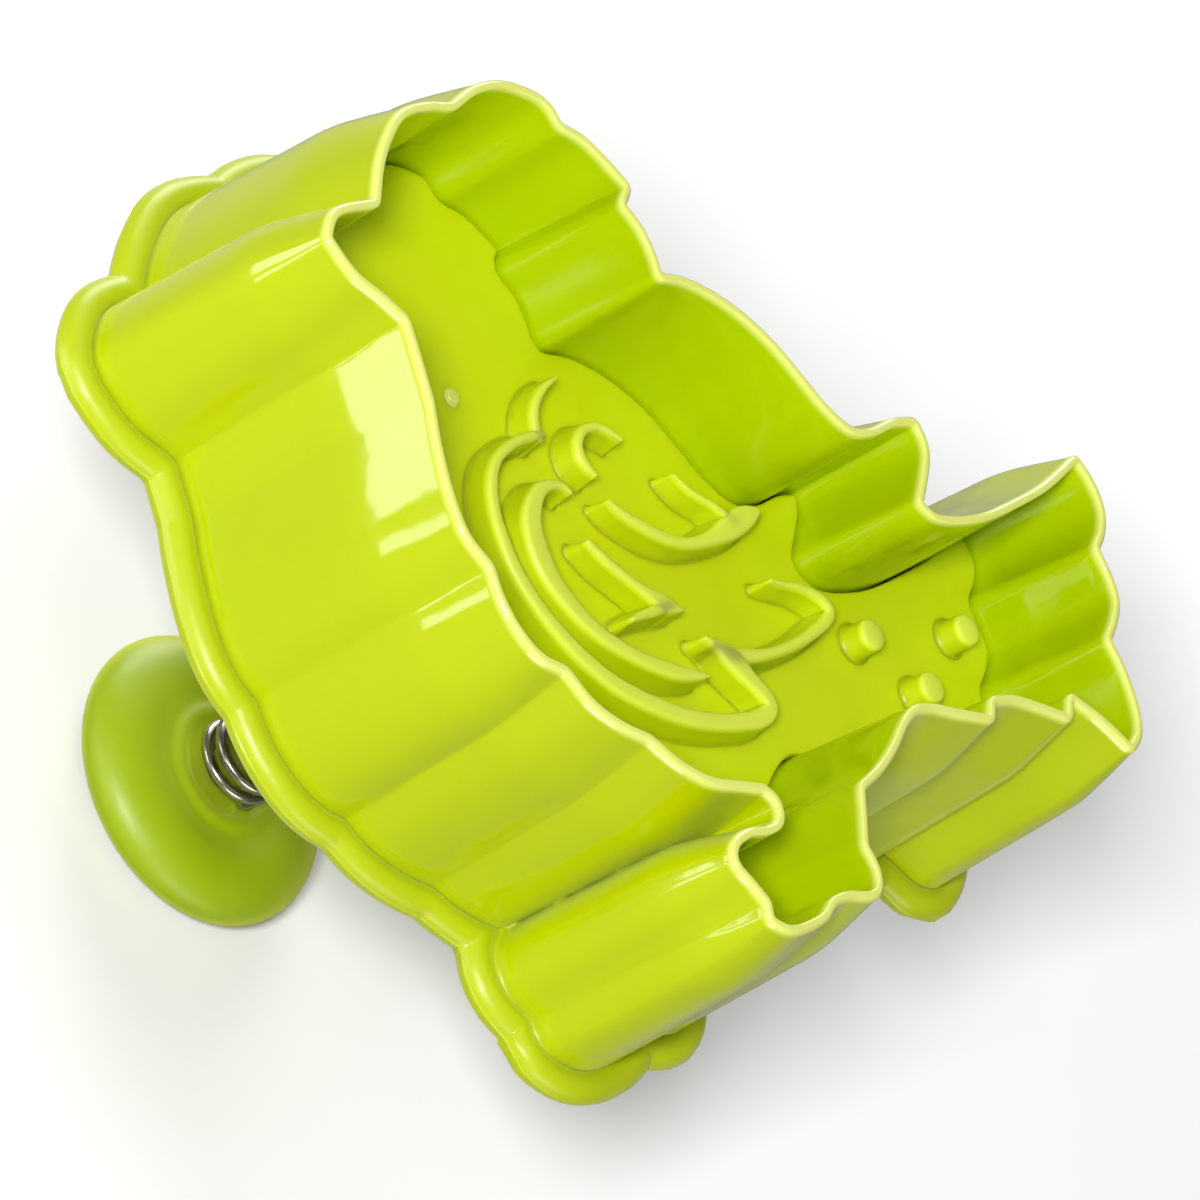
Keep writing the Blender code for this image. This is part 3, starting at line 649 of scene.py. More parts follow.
@dataclass
class HenOutline:
    """The hen's outline in plan, clockwise from the beak, and the lines beside it."""

    length: float = 0.090
    corner_softness: float = 0.00030
    step: float = 0.00015
    spacing: float = 0.00026
    fine: np.ndarray = field(init=False)
    points: np.ndarray = field(init=False)
    normals: np.ndarray = field(init=False)
    share: np.ndarray = field(init=False)
    is_foot: np.ndarray = field(init=False)
    foot_share: np.ndarray = field(init=False)
    room_outside: np.ndarray = field(init=False)
    room_inside: np.ndarray = field(init=False)

    STRETCHES = {
        "beak_top": ((-463, 144), (-452, 167), (-436, 178)),
        "crown": ((-397, 193), (-387, 230), (-372, 262), (-350, 291), (-318, 308)),
        "tuft_front": ((-284, 317), (-251, 343), (-221, 356), (-190, 359), (-162, 354)),
        "tuft_back": ((-148, 336), (-119, 330), (-91, 314)),
        "nape_notch": ((-69, 298),),
        "nape": ((-81, 278), (-62, 261), (-50, 239)),
        "back": (
            (-44, 216), (-14, 220), (19, 217), (58, 206), (97, 186), (132, 158), (159, 137),
            (190, 124), (219, 131), (248, 147),
        ),
        "spur": ((279, 156), (288, 133), (280, 103)),
        "tail_top": ((267, 73), (286, 63), (319, 67), (358, 80), (402, 103), (452, 133)),
        "tail_lobe_1": ((504, 174), (521, 153), (529, 128), (523, 104)),
        "tail_lobe_2": ((511, 86), (523, 63), (529, 39), (521, 16)),
        "tail_lobe_3": ((507, -6), (522, -34), (532, -70), (530, -94)),
        "tail_fold_1": ((516, -113), (480, -93)),
        "tail_step_1": ((439, -78),),
        "tail_fold_2": ((433, -101), (397, -99), (359, -99)),
        "tail_step_2": ((326, -107),),
        "rump": (
            (322, -126), (280, -130), (241, -133), (217, -140), (199, -157), (182, -181),
            (158, -208),
        ),
        "leg": ((127, -233), (124, -261)),
        "heel": ((120, -290), (132, -312), (127, -333)),
        "toe_1": ((88, -343), (68, -353), (54, -369), (30, -383), (4, -392)),
        "toe_notch": ((-19, -388),),
        "toe_2": (
            (-19, -372), (-38, -356), (-54, -342), (-51, -326), (-30, -310), (-6, -303),
            (12, -291), (12, -272),
        ),
        "belly": ((-3, -262), (-33, -266), (-70, -270), (-107, -263)),
        "breast_1": ((-143, -246), (-177, -241), (-210, -228)),
        "breast_2": ((-237, -204), (-267, -198), (-291, -178), (-307, -151)),
        "breast_3": ((-314, -126), (-339, -103), (-353, -66), (-360, -23)),
        "throat": ((-362, 16), (-370, 52)),
        "beak_under": ((-379, 89), (-406, 103), (-437, 117)),
    }
    FOOT = ("leg", "heel", "toe_1", "toe_notch", "toe_2")
    LEAN = (0.00085, -0.00040)

    # How many points the foot's thinner wall fades over
    FOOT_FADE = 81
    # How far a blur reaches, in its own widths, on the outline and on a line beside it
    OUTLINE_BLUR = 3
    EASED_BLUR = 4
    # Points within so many steps belong to the point itself and take no room from it
    NEAR_STEPS = 2.5

    def __post_init__(self) -> None:
        """Work out the close points, their normals and the room beside them."""
        soft, is_foot = self._softened()
        forward = np.roll(soft, -1, axis=0) - np.roll(soft, 1, axis=0)
        forward /= np.linalg.norm(forward, axis=1)[:, None]
        picks = np.linspace(0, len(soft), round(len(soft) * self.step / self.spacing), False)
        picks = picks.astype(int)
        self.fine = soft
        self.points = soft[picks]
        self.is_foot = is_foot[picks]
        near = np.ones(self.FOOT_FADE) / self.FOOT_FADE
        thrice = np.tile(self.is_foot.astype(float), 3)
        self.foot_share = np.convolve(thrice, near, "same")[len(picks) : 2 * len(picks)]
        self.share = picks / len(soft)
        # The outline runs clockwise, so its left side is outwards.
        self.normals = np.stack([-forward[picks, 1], forward[picks, 0]], axis=1)
        self.room_outside = self._room(self.normals)
        self.room_inside = self._room(-self.normals)

    def _softened(self) -> tuple[np.ndarray, np.ndarray]:
        """The closed outline with each corner softened, and which of its points are the foot's."""
        stretches = list(self.STRETCHES.values())
        pieces = []
        for stretch, following in zip(stretches, stretches[1:] + stretches[:1]):
            points = np.array([*stretch, following[0]]) / THOUSAND * self.length
            pieces.append(smooth_line(points, self.step)[:-1])
        line = np.vstack(pieces)
        is_foot = np.repeat([n in self.FOOT for n in self.STRETCHES], [len(p) for p in pieces])
        along, even, line = resampled(line, self.step)
        is_foot = is_foot[np.searchsorted(along, even, side="right") - 1]
        return self._blurred(line, self.OUTLINE_BLUR), is_foot

    def _blurred(self, line: np.ndarray, reach: float) -> np.ndarray:
        """Soften the corners of a closed line of even samples.

        Args:
            line: The samples.
            reach: How far the blur reaches, in its own widths.

        Returns:
            As many samples.
        """
        width = self.corner_softness / self.step
        shifts = np.arange(-math.ceil(reach * width), math.ceil(reach * width) + 1)
        weights = np.exp(-0.5 * (shifts / width) ** 2)
        weights /= weights.sum()
        return sum(w * np.roll(line, s, axis=0) for w, s in zip(weights, shifts))

    def eased(self, points: np.ndarray) -> np.ndarray:
        """Soften the corners of a line beside the outline.

        Args:
            points: The line's points, of which some can lie drawn together.

        Returns:
            As many points.
        """
        along, even, line = resampled(points, self.step)
        soft = self._blurred(line, self.EASED_BLUR)
        return points_at(along[:-1], np.append(even, along[-1]), np.vstack([soft, soft[:1]]))

    def _room(self, normals: np.ndarray) -> np.ndarray:
        """How far each point can move along its normal before another part is nearer."""
        gaps = self.fine[None] - self.points[:, None]
        squares = (gaps**2).sum(axis=2)
        ahead = (gaps * normals[:, None]).sum(axis=2)
        is_used = (ahead > 0) & (squares > (self.NEAR_STEPS * self.step) ** 2)
        return np.where(is_used, squares / np.where(is_used, 2 * ahead, 1.0), np.inf).min(axis=1)

    def beside(self, distance: float | np.ndarray, has_foot: bool = True) -> np.ndarray:
        """The line at a distance outwards, with the points that would cross over drawn together.

        Args:
            distance: How far outwards, or inwards if it is below zero. One value, or one a point.
            has_foot: Whether the line follows the foot, or passes it by.

        Returns:
            As many points as the outline has.
        """
        distances = np.broadcast_to(np.asarray(distance, float), len(self.points))
        room = np.where(distances > 0, self.room_outside, self.room_inside)
        is_blocked = room < np.abs(distances)
        if not has_foot:
            is_blocked = is_blocked | self.is_foot
        moved = self.points + self.normals * distances[:, None]
        count = len(moved)
        if is_blocked.any():
            start = int(np.argmin(is_blocked))
            run: list[int] = []
            for index in [*((np.arange(count) + start) % count), start]:
                if is_blocked[index]:
                    run.append(index)
                elif run:
                    moved[run] = (moved[(run[0] - 1) % count] + moved[index]) / 2
                    run = []
        return self._untangled(moved)

    @staticmethod
    def _untangled(line: np.ndarray, window: int = 40) -> np.ndarray:
        """Draw together each small loop where the line crosses over itself."""
        count = len(line)
        shifts = np.arange(2, window)
        for _ in range(count):
            runs = np.roll(line, -1, axis=0) - line
            others = (np.arange(count)[:, None] + shifts) % count
            gaps = line[others] - line[:, None]
            turns = cross(runs[:, None], runs[others])
            is_straight = np.abs(turns) < PARALLEL
            safe = np.where(is_straight, 1.0, turns)
            share = cross(gaps, runs[others]) / safe
            other_share = cross(gaps, runs[:, None]) / safe
            is_on_both = (np.minimum(share, other_share) > TOUCHING) & (
                np.maximum(share, other_share) < 1
            )
            pairs = np.argwhere(is_on_both & ~is_straight)
            if not len(pairs):
                break
            first, place = pairs[pairs[:, 1].argmin()]
            loop = (first + 1 + np.arange(shifts[place])) % count
            line[loop] = line[first] + runs[first] * share[first, place]
        return line

    def ring(
        self,
        distance: float | np.ndarray,
        height: float,
        has_foot: bool = True,
        leaning: float = 0.0,
    ) -> list[Point]:
        """Points of the line beside the outline, at a height.

        Args:
            distance: How far outwards the line runs.
            height: Its height.
            has_foot: Whether it follows the foot.
            leaning: The share of the wall's lean by which it has moved.

        Returns:
            The points.
        """
        line = self.beside(distance, has_foot) + np.array(self.LEAN) * leaning
        return [(x, y, height) for x, y in line]


# ---- The pieces


@dataclass
class CutterMoulding:
    """The fixed moulding: thin wall, flange with its parting line, back plate and guide collar."""

    outline: HenOutline
    edge_height: float = 0.0625
    flange_drop: float = 0.0240
    flange_thickness: float = 0.0028
    plate_thickness: float = 0.0022
    stamp_drop: float = 0.0133
    edge_thickness: float = 0.00066
    edge_round: float = 0.00018
    inner_growth: float = 0.0005
    growth: Shares = (
        (0.0, 0.0),
        (0.0008, 0.0002),
        (0.0043, 0.0011),
        (0.0078, 0.0019),
        (0.0164, 0.0023),
        (0.0228, 0.0026),
        (0.0300, 0.0029),
    )
    growth_blend: float = 0.0012
    fillet: float = 0.0004
    flange_reach: float = 0.0024
    bead_width: float = 0.00145
    bead_start_degrees: float = 132.0
    foot_thinning: float = 0.0005
    parting_line: float = 0.00007
    parting_line_width: float = 0.00014
    collar_radius: float = 0.0043
    collar_length: float = 0.0040
    bore_radius: float = 0.00235
    collar_round: float = 0.0004
    parting_degrees: float = 7.0
    levels: int = 30
    sides: int = 64
    sharp_degrees: float = 60.0

    # Steps of the hollow corner over the bead: shares of the way across and of the fillet up
    FILLET_STEPS = ((0.25, 0.4), (0.7, 0.08))
    # Size, seed and waves of each part of the parting line's unevenness
    RAGGED = ((0.45, 5, 90), (0.25, 8, 400))

    def wall_growth(self, depth: float) -> float:
        """How far the outer face has grown outwards, at a depth under the edge."""
        depths, grown = zip(*self.growth)
        near = np.linspace(-self.growth_blend, self.growth_blend, 9)
        return float(np.interp(np.maximum(depth + near, 0.0), depths, grown).mean())

    def section(self) -> list[tuple[float | np.ndarray, float, float]]:
        """The wall and flange's section, from the floor inside, over the edge, to the underside.

        Returns:
            Distances outwards from the middle of the edge, heights, and shares of the wall's lean.
        """
        half = self.edge_thickness / 2
        top = self.edge_height - self.flange_drop
        bottom = top - self.flange_thickness
        floor = bottom + self.plate_thickness
        stamp_face = self.edge_height - self.stamp_drop
        points: list[tuple[float | np.ndarray, float, float]] = []
        for height in np.linspace(floor, self.edge_height - self.edge_round, self.levels // 2):
            rise = max(0.0, (height - stamp_face) / (self.edge_height - stamp_face))
            points.append((-half - self.inner_growth * (1 - rise), height, 0.0))
        shoulder = self.edge_height - self.edge_round
        crest = arc((-half + self.edge_round, shoulder), self.edge_round, 150, 90, 3)
        crest += arc((half - self.edge_round, shoulder), self.edge_round, 90, 30, 3)
        points += [(x, z, 0.0) for x, z in crest]
        # The foot's wall is thinner, and below the toes its flange reaches less far.
        foot_share = self.outline.foot_share
        middle = (top + bottom) / 2
        height_half = self.flange_thickness / 2
        foot = half + self.wall_growth(self.flange_drop)
        rim = foot + self.flange_reach
        below = np.maximum(-self.outline.normals[:, 1], 0.0)
        rim_line = rim - self.foot_thinning * foot_share * below
        start = math.radians(self.bead_start_degrees)
        valley = middle + height_half * math.sin(start)
        for height in np.linspace(shoulder, valley + self.fillet, self.levels):
            depth = self.edge_height - height
            leaning = depth / self.flange_drop
            thinning = self.foot_thinning * foot_share * leaning
            points.append((half + self.wall_growth(depth) - thinning, height, leaning))
        bead = rim_line - self.bead_width
        last = points[-1][0]
        first = bead + self.bead_width * math.cos(start)
        for across, up in self.FILLET_STEPS:
            points.append((last + (first - last) * across, valley + self.fillet * up, 1.0))
        points += self._bead(bead, middle, self.bead_start_degrees, self.parting_degrees, 15)
        share = self.outline.share
        parts = (size * wobble(share, seed, waves) for size, seed, waves in self.RAGGED)
        ragged = sum(parts, start=1.0)
        raised = rim_line + self.parting_line * ragged
        width = self.parting_line_width
        points += [
            (rim_line, middle + width, 1.0),
            (raised, middle + width / 3, 1.0),
            (raised, middle - width / 3, 1.0),
            (rim_line, middle - width, 1.0),
        ]
        return points + self._bead(bead, middle, -self.parting_degrees, -90, 9)

    def _bead(
        self, centre: np.ndarray, middle: float, start: float, end: float, count: int
    ) -> list[tuple[np.ndarray, float, float]]:
        """Points round a part of the flange's bead.

        Args:
            centre: How far outwards the bead's centre lies.
            middle: The centre's height.
            start: First angle, in degrees from outwards.
            end: Last angle, in degrees.
            count: How many points.

        Returns:
            Distances outwards, heights, and shares of the wall's lean.
        """
        width, height = self.bead_width, self.flange_thickness / 2
        turns = np.radians(np.linspace(start, end, count))
        return [(centre + width * math.cos(t), middle + height * math.sin(t), 1.0) for t in turns]

    def build(self) -> bpy.types.Object:
        """Build the moulding's mesh.

        Returns:
            The piece.
        """
        maker = MeshMaker()
        steps = self.section()
        rings = [self.outline.ring(x, z, leaning=leaning) for x, z, leaning in steps]
        # Straight lines up the inner face keep its corners clean.
        half = self.edge_thickness / 2
        edge = self.outline.beside(-half)
        foot = self.outline.eased(self.outline.beside(-half - self.inner_growth))
        for place in range(self.levels // 2):
            distance, height, _ = steps[place]
            line = edge + (foot - edge) * (-half - distance) / self.inner_growth
            rings[place] = [(x, y, height) for x, y in line]
        floor_ring, under_ring = maker.skin(rings)
        # The inner face takes the second finish, a greener copy of the lime that is painted shade
        # for the hollow, and the rest of the moulding the first.
        inner_faces = (self.levels // 2 - 1) * len(rings[0])
        for face in list(maker.shape.faces)[:inner_faces]:
            face.material_index = SECOND_FINISH
        bottom = self.edge_height - self.flange_drop - self.flange_thickness
        end = bottom - self.collar_length
        bore = self.bore_radius
        sides = [
            (bore, bottom + self.plate_thickness),
            (bore, end + self.collar_round),
            (bore + self.collar_round, end),
        ]
        sides += arc(
            (self.collar_radius - self.collar_round, end + self.collar_round),
            self.collar_round, -90, 0, 4,
        )
        sides += arc(
            (self.collar_radius + self.collar_round, bottom - self.collar_round),
            self.collar_round, 180, 90, 4,
        )
        bore_ring, collar_ring = maker.skin([circle(r, z, self.sides) for r, z in sides])
        maker.merge()
        maker.fill(floor_ring, bore_ring)
        maker.fill(under_ring, collar_ring)
        return maker.finish("cutter_moulding", self.sharp_degrees)


@dataclass
class RaisedLine:
    """One moulded line on the stamp: sloping sides, a flat top with soft edges and a soft root."""

    shares: tuple[Point, ...]
    height: float = 0.0024
    draft: float = 0.00030
    root: float = 0.00022
    crown: float = 0.00045
    sunk: float = 0.0003
    step: float = 0.0003

    # Turns of the half-round end, in degrees
    END_TURNS = (18, 36, 54, 72, 90)
    # The most of half the top that a rounded edge takes, and of a bend's radius that a side takes
    CROWN_MOST = 0.9
    BEND_MOST = 0.95

    def section(self, half: float) -> list[Span]:
        """The line's section, from one sunk corner round to the other.

        Args:
            half: Half the width of the line's top.

        Returns:
            Points, as (across, up).
        """
        foot = half + self.draft
        crown = min(self.crown, half * self.CROWN_MOST)
        right = [(foot + self.root, -self.sunk)]
        right += arc((foot + self.root, self.root), self.root, 270, 186, 7)
        right += arc((half - crown, self.height - crown), crown, 4, 90, 7)
        return right + [(-x, z) for x, z in reversed(right)]

    def add_to(self, maker: MeshMaker, length: float, face: float) -> None:
        """Add the line's mesh to the stamp's.

        Args:
            maker: Gathers the stamp's mesh.
            length: The outline's length, of which the points and widths are ten-thousandths.
            face: Height of the stamp's face.
        """
        line = smooth_line(np.array(self.shares) / TEN_THOUSAND * length, self.step)
        line, halves = line[:, :2], line[:, 2] / 2
        forward = np.gradient(line, axis=0)
        lengths = np.linalg.norm(forward, axis=1)
        forward /= lengths[:, None]
        bends = cross(forward, np.gradient(forward, axis=0)) / lengths
        sides = np.stack([-forward[:, 1], forward[:, 0]], axis=1)
        rings = []
        for turn in self.END_TURNS[::-1]:
            rings.append(self._end(line[0], -forward[0], sides[0], halves[0], turn, face))
        for point, side, half, bend in zip(line, sides, halves, bends):
            # Inside a tight bend the section reaches no further than the bend's centre.
            reach = self.BEND_MOST / max(abs(bend), 1.0)
            low, high = (-math.inf, reach) if bend > 0 else (-reach, math.inf)
            section = [(min(max(x, low), high), face + z) for x, z in self.section(half)]
            rings.append([(*(point + side * x), z) for x, z in section])
        for turn in self.END_TURNS:
            rings.append(self._end(line[-1], forward[-1], sides[-1], halves[-1], turn, face))
        # At its last turn each end's ring lies folded on a line, which closes the mesh there.
        maker.skin(rings)

    def _end(
        self,
        point: np.ndarray,
        onwards: np.ndarray,
        side: np.ndarray,
        half: float,
        turn: float,
        face: float,
    ) -> list[Point]:
        """One ring of a half-round end.

        Args:
            point: The line's end in plan.
            onwards: Direction out of the end.
            side: Direction across the line.
            half: Half the width of the line's top.
            turn: How far the ring has turned round the end, in degrees.
            face: Height of the stamp's face.

        Returns:
            The ring's points.
        """
        across, along = math.cos(math.radians(turn)), math.sin(math.radians(turn))
        return [
            (*(point + side * (x * across) + onwards * (abs(x) * along)), face + z)
            for x, z in self.section(half)
        ]


@dataclass
class Stamp:
    """The sliding stamp: a hollow plate with the wing's lines, three tail posts and the eye."""

    outline: HenOutline
    face: float = 0.0492
    skirt_bottom: float = 0.0382
    side: float = -0.00100
    edge_round: float = 0.00035
    face_thickness: float = 0.0018
    skirt_thickness: float = 0.0016
    rib_thickness: float = 0.0014
    boss_radius: float = 0.0042
    boss_bottom: float = 0.0402
    post_radius: float = 0.0015
    post_height: float = 0.0023
    eye_radius: float = 0.0007
    eye_height: float = 0.0003
    post_shares: Shares = ((0.324, 0.005), (0.461, 0.041), (0.398, -0.031))
    eye_share: Span = (-0.172, 0.128)
    dot_sides: int = 40
    pin_radius: float = 0.0019
    pin_depth: float = 0.0062
    boss_sides: int = 48
    rib_ends: tuple[float, float, float, float] = (-0.0305, 0.0438, 0.0176, -0.0208)
    sharp_degrees: float = 38.0

    # Shares of a dot's radius: its soft root, its rounded top edge, and where its top starts
    DOT_ROOT = 0.25
    DOT_CROWN = 0.25
    DOT_TOP = 0.94
    # The most of a dot's height that its rounded edge takes, and how far its middle domes up
    DOT_CROWN_MOST = 0.6
    DOT_DOME = 1.015
    DOT_SUNK = 0.0003
    # Where a rib starts, as a share of the boss's radius, so that the two overlap
    RIB_START = 0.9

    LINES = {
        "wing_shoulder": RaisedLine(
            (
                (-600, 1650, 27), (-760, 1520, 69), (-880, 1360, 93), (-940, 1200, 111),
                (-940, 1090, 122), (-910, 1010, 122),
            ),
            height=0.00236,
        ),
        "outer_feather": RaisedLine(
            (
                (-890, 1030, 98), (-1170, 910, 98), (-1420, 730, 103), (-1560, 540, 122),
                (-1620, 330, 136), (-1620, 100, 141), (-1570, -110, 148), (-1480, -340, 156),
                (-1340, -560, 161), (-1160, -760, 167), (-940, -940, 172), (-690, -1100, 178),
                (-400, -1230, 183), (-120, -1300, 187), (160, -1340, 187), (530, -1360, 183),
                (930, -1320, 178), (1280, -1240, 178), (1500, -1165, 178), (1640, -1080, 178),
                (1680, -985, 178), (1600, -885, 180), (1460, -790, 200), (1320, -690, 240),
                (1190, -610, 225), (1070, -550, 144), (920, -520, 43),
            ),
        ),
        "long_feather": RaisedLine(
            (
                (1040, -560, 89), (1220, -600, 161), (1460, -560, 148), (1740, -480, 117),
                (2020, -360, 110), (2290, -210, 115), (2500, -60, 125), (2645, 60, 125),
                (2700, 160, 125), (2630, 245, 120), (2460, 290, 95), (2290, 300, 75),
                (2100, 280, 55), (1910, 270, 25),
            ),
            height=0.00236,
        ),
        "inner_feather": RaisedLine(
            (
                (-460, 80, 70), (-290, -20, 107), (-130, -100, 99), (40, -170, 101),
                (210, -230, 119), (370, -270, 178), (500, -300, 172), (630, -310, 48),
            ),
        ),
        "inner_feather_tip": RaisedLine(
            (
                (500, -300, 100), (400, -340, 122), (260, -410, 96), (110, -480, 78),
                (-20, -550, 46),
            ),
            height=0.00236,
        ),
        "down_curl": RaisedLine(
            (
                (150, 1230, 27), (20, 1280, 72), (-140, 1290, 92), (-310, 1220, 97),
                (-410, 1080, 117), (-410, 950, 128), (-350, 860, 111), (-260, 790, 53),
            ),
        ),
        "upper_feather": RaisedLine(
            (
                (-130, 560, 26), (-10, 510, 90), (140, 460, 114), (320, 420, 124), (500, 390, 127),
                (680, 380, 122), (870, 400, 117), (1060, 460, 128), (1270, 560, 167),
                (1460, 680, 228), (1640, 810, 250), (1770, 890, 200), (1860, 940, 120),
            ),
        ),
        "down_line": RaisedLine(
            (
                (800, 1050, 16), (890, 1000, 54), (990, 950, 68), (1110, 910, 70), (1260, 880, 73),
                (1400, 840, 100), (1540, 780, 120),
            ),
            height=0.00225,
        ),
        "middle_feather": RaisedLine(
            (
                (-620, 530, 40), (-690, 570, 80), (-830, 560, 108), (-990, 470, 150),
                (-1100, 310, 200), (-1160, 120, 239), (-1140, -70, 256), (-1080, -250, 250),
                (-980, -410, 233), (-820, -570, 207), (-610, -720, 184), (-350, -830, 167),
                (-50, -900, 158), (200, -930, 161), (480, -940, 161), (720, -920, 111),
                (870, -900, 28),
            ),
        ),
    }

    def add_dot(self, maker: MeshMaker, share: Span, radius: float, height: float) -> None:
        """Add a raised dot with a soft root and a rounded top.

        Args:
            maker: Gathers the stamp's mesh.
            share: Its place in plan, as shares of the outline's length.
            radius: Its radius.
            height: How far it stands up.
        """
        centre = (share[0] * self.outline.length, share[1] * self.outline.length)
        root = radius * self.DOT_ROOT
        crown = min(radius * self.DOT_CROWN, height * self.DOT_CROWN_MOST)
        section = [(radius + root, -self.DOT_SUNK)]
        section += arc((radius + root, root), root, 270, 185, 5)
        section += arc((radius * self.DOT_TOP - crown, height - crown), crown, 5, 80, 6)
        section += [(radius * self.DOT_CROWN, height * self.DOT_DOME)]
        rings = [circle(r, self.face + z, self.dot_sides, centre) for r, z in section]
        maker.cap(*maker.skin(rings))

    def add_back(self, maker: MeshMaker) -> None:
        """Add the boss that takes the stem, and the ribs that stiffen the face from behind."""
        underside = self.face - self.face_thickness / 2
        bottom = self.boss_bottom
        sides = [
            (self.pin_radius, bottom + self.pin_depth),
            (self.pin_radius, bottom),
            (self.boss_radius, bottom),
            (self.boss_radius, underside),
        ]
        maker.cap(*maker.skin([circle(r, z, self.boss_sides) for r, z in sides]))
        half = self.rib_thickness / 2
        start = self.boss_radius * self.RIB_START
        beak, tail, comb, foot = self.rib_ends
        for (x_low, y_low), (x_high, y_high) in (
            ((beak, -half), (-start, half)),
            ((start, -half), (tail, half)),
            ((-half, start), (half, comb)),
            ((-half, foot), (half, -start)),
        ):
            corners = [(x_low, y_low), (x_high, y_low), (x_high, y_high), (x_low, y_high)]
            rings = [[(x, y, z) for x, y in corners] for z in (bottom + half, underside)]
            maker.cap(*maker.skin(rings))

    def build(self) -> bpy.types.Object:
        """Build the stamp's mesh.

        Returns:
            The piece.
        """
        maker = MeshMaker()
        shoulder = self.face - self.edge_round
        inset = self.side - self.edge_round
        steps = arc((-inset, shoulder), self.edge_round, 90, 180, 5)
        steps = [(-x, z) for x, z in steps]
        steps += [(self.side, z) for z in np.linspace(shoulder, self.skirt_bottom, 6)[1:]]
        rings = [self.outline.ring(x, z) for x, z in steps]
        face_ring, skirt_ring = maker.skin(rings)
        hollow = self.side - self.skirt_thickness
        underside = self.face - self.face_thickness
        heights = (self.skirt_bottom, underside)
        hollow_low, hollow_high = maker.skin(
            [self.outline.ring(hollow, z, has_foot=False) for z in heights]
        )
        maker.merge()
        maker.fill(face_ring)
        maker.fill(hollow_high)
        maker.fill(skirt_ring, hollow_low)
        for line in self.LINES.values():
            line.add_to(maker, self.outline.length, self.face)
        for share in self.post_shares:
            self.add_dot(maker, share, self.post_radius, self.post_height)
        # The eye takes the second finish, a pale lime that is a painted highlight.
        without_eye = len(maker.shape.faces)
        self.add_dot(maker, self.eye_share, self.eye_radius, self.eye_height)
        for face in list(maker.shape.faces)[without_eye:]:
            face.material_index = SECOND_FINISH
        self.add_back(maker)
        return maker.finish("stamp", self.sharp_degrees)


@dataclass
class PushButton:
    """The push button: flat outside, round edge, and a soft hub that the spring sits in."""

    radius: float = 0.01265
    flat_radius: float = 0.0088
    dish_radius: float = 0.0080
    widest_height: float = 0.0025
    top_height: float = 0.0055
    rise: Shares = (
        (0.00800, 0.00550),
        (0.00730, 0.00546),
        (0.00660, 0.00539),
        (0.00610, 0.00537),
        (0.00570, 0.00544),
        (0.00530, 0.00557),
        (0.00490, 0.00562),
        (0.00450, 0.00555),
        (0.00420, 0.00543),
        (0.00395, 0.00535),
    )
    seat: Shares = ((0.0038, 0.00533), (0.0022, 0.00530), (0.0019, 0.0051), (0.0019, 0.0018))
    sides: int = 128
    sharp_degrees: float = 40.0
    step: float = 0.0002

    # Shares of the flat face's radius that it is drawn at
    FLAT_STEPS = (0.02, 0.5, 0.9)

    def build(self) -> bpy.types.Object:
        """Build the button's mesh.

        Returns:
            The piece.
        """
        low, high = self.widest_height, self.top_height - self.widest_height
        profile = [(self.flat_radius * s, 0.0) for s in self.FLAT_STEPS]
        for turn in np.radians(np.linspace(-90, 0, 13)):
            edge = (self.radius - self.flat_radius) * math.cos(turn)
            profile.append((self.flat_radius + edge, low + low * math.sin(turn)))
        for turn in np.radians(np.linspace(0, 90, 15))[1:]:
            edge = (self.radius - self.dish_radius) * math.cos(turn)
            profile.append((self.dish_radius + edge, low + high * math.sin(turn)))
        profile += [tuple(p) for p in smooth_line(np.array(self.rise), self.step)[1:]]
        profile += list(self.seat)
        maker = MeshMaker()
        first, last = maker.skin([circle(r, z, self.sides) for r, z in profile])
        maker.shape.faces.new(first)
        maker.shape.faces.new(last)
        return maker.finish("push_button", self.sharp_degrees)


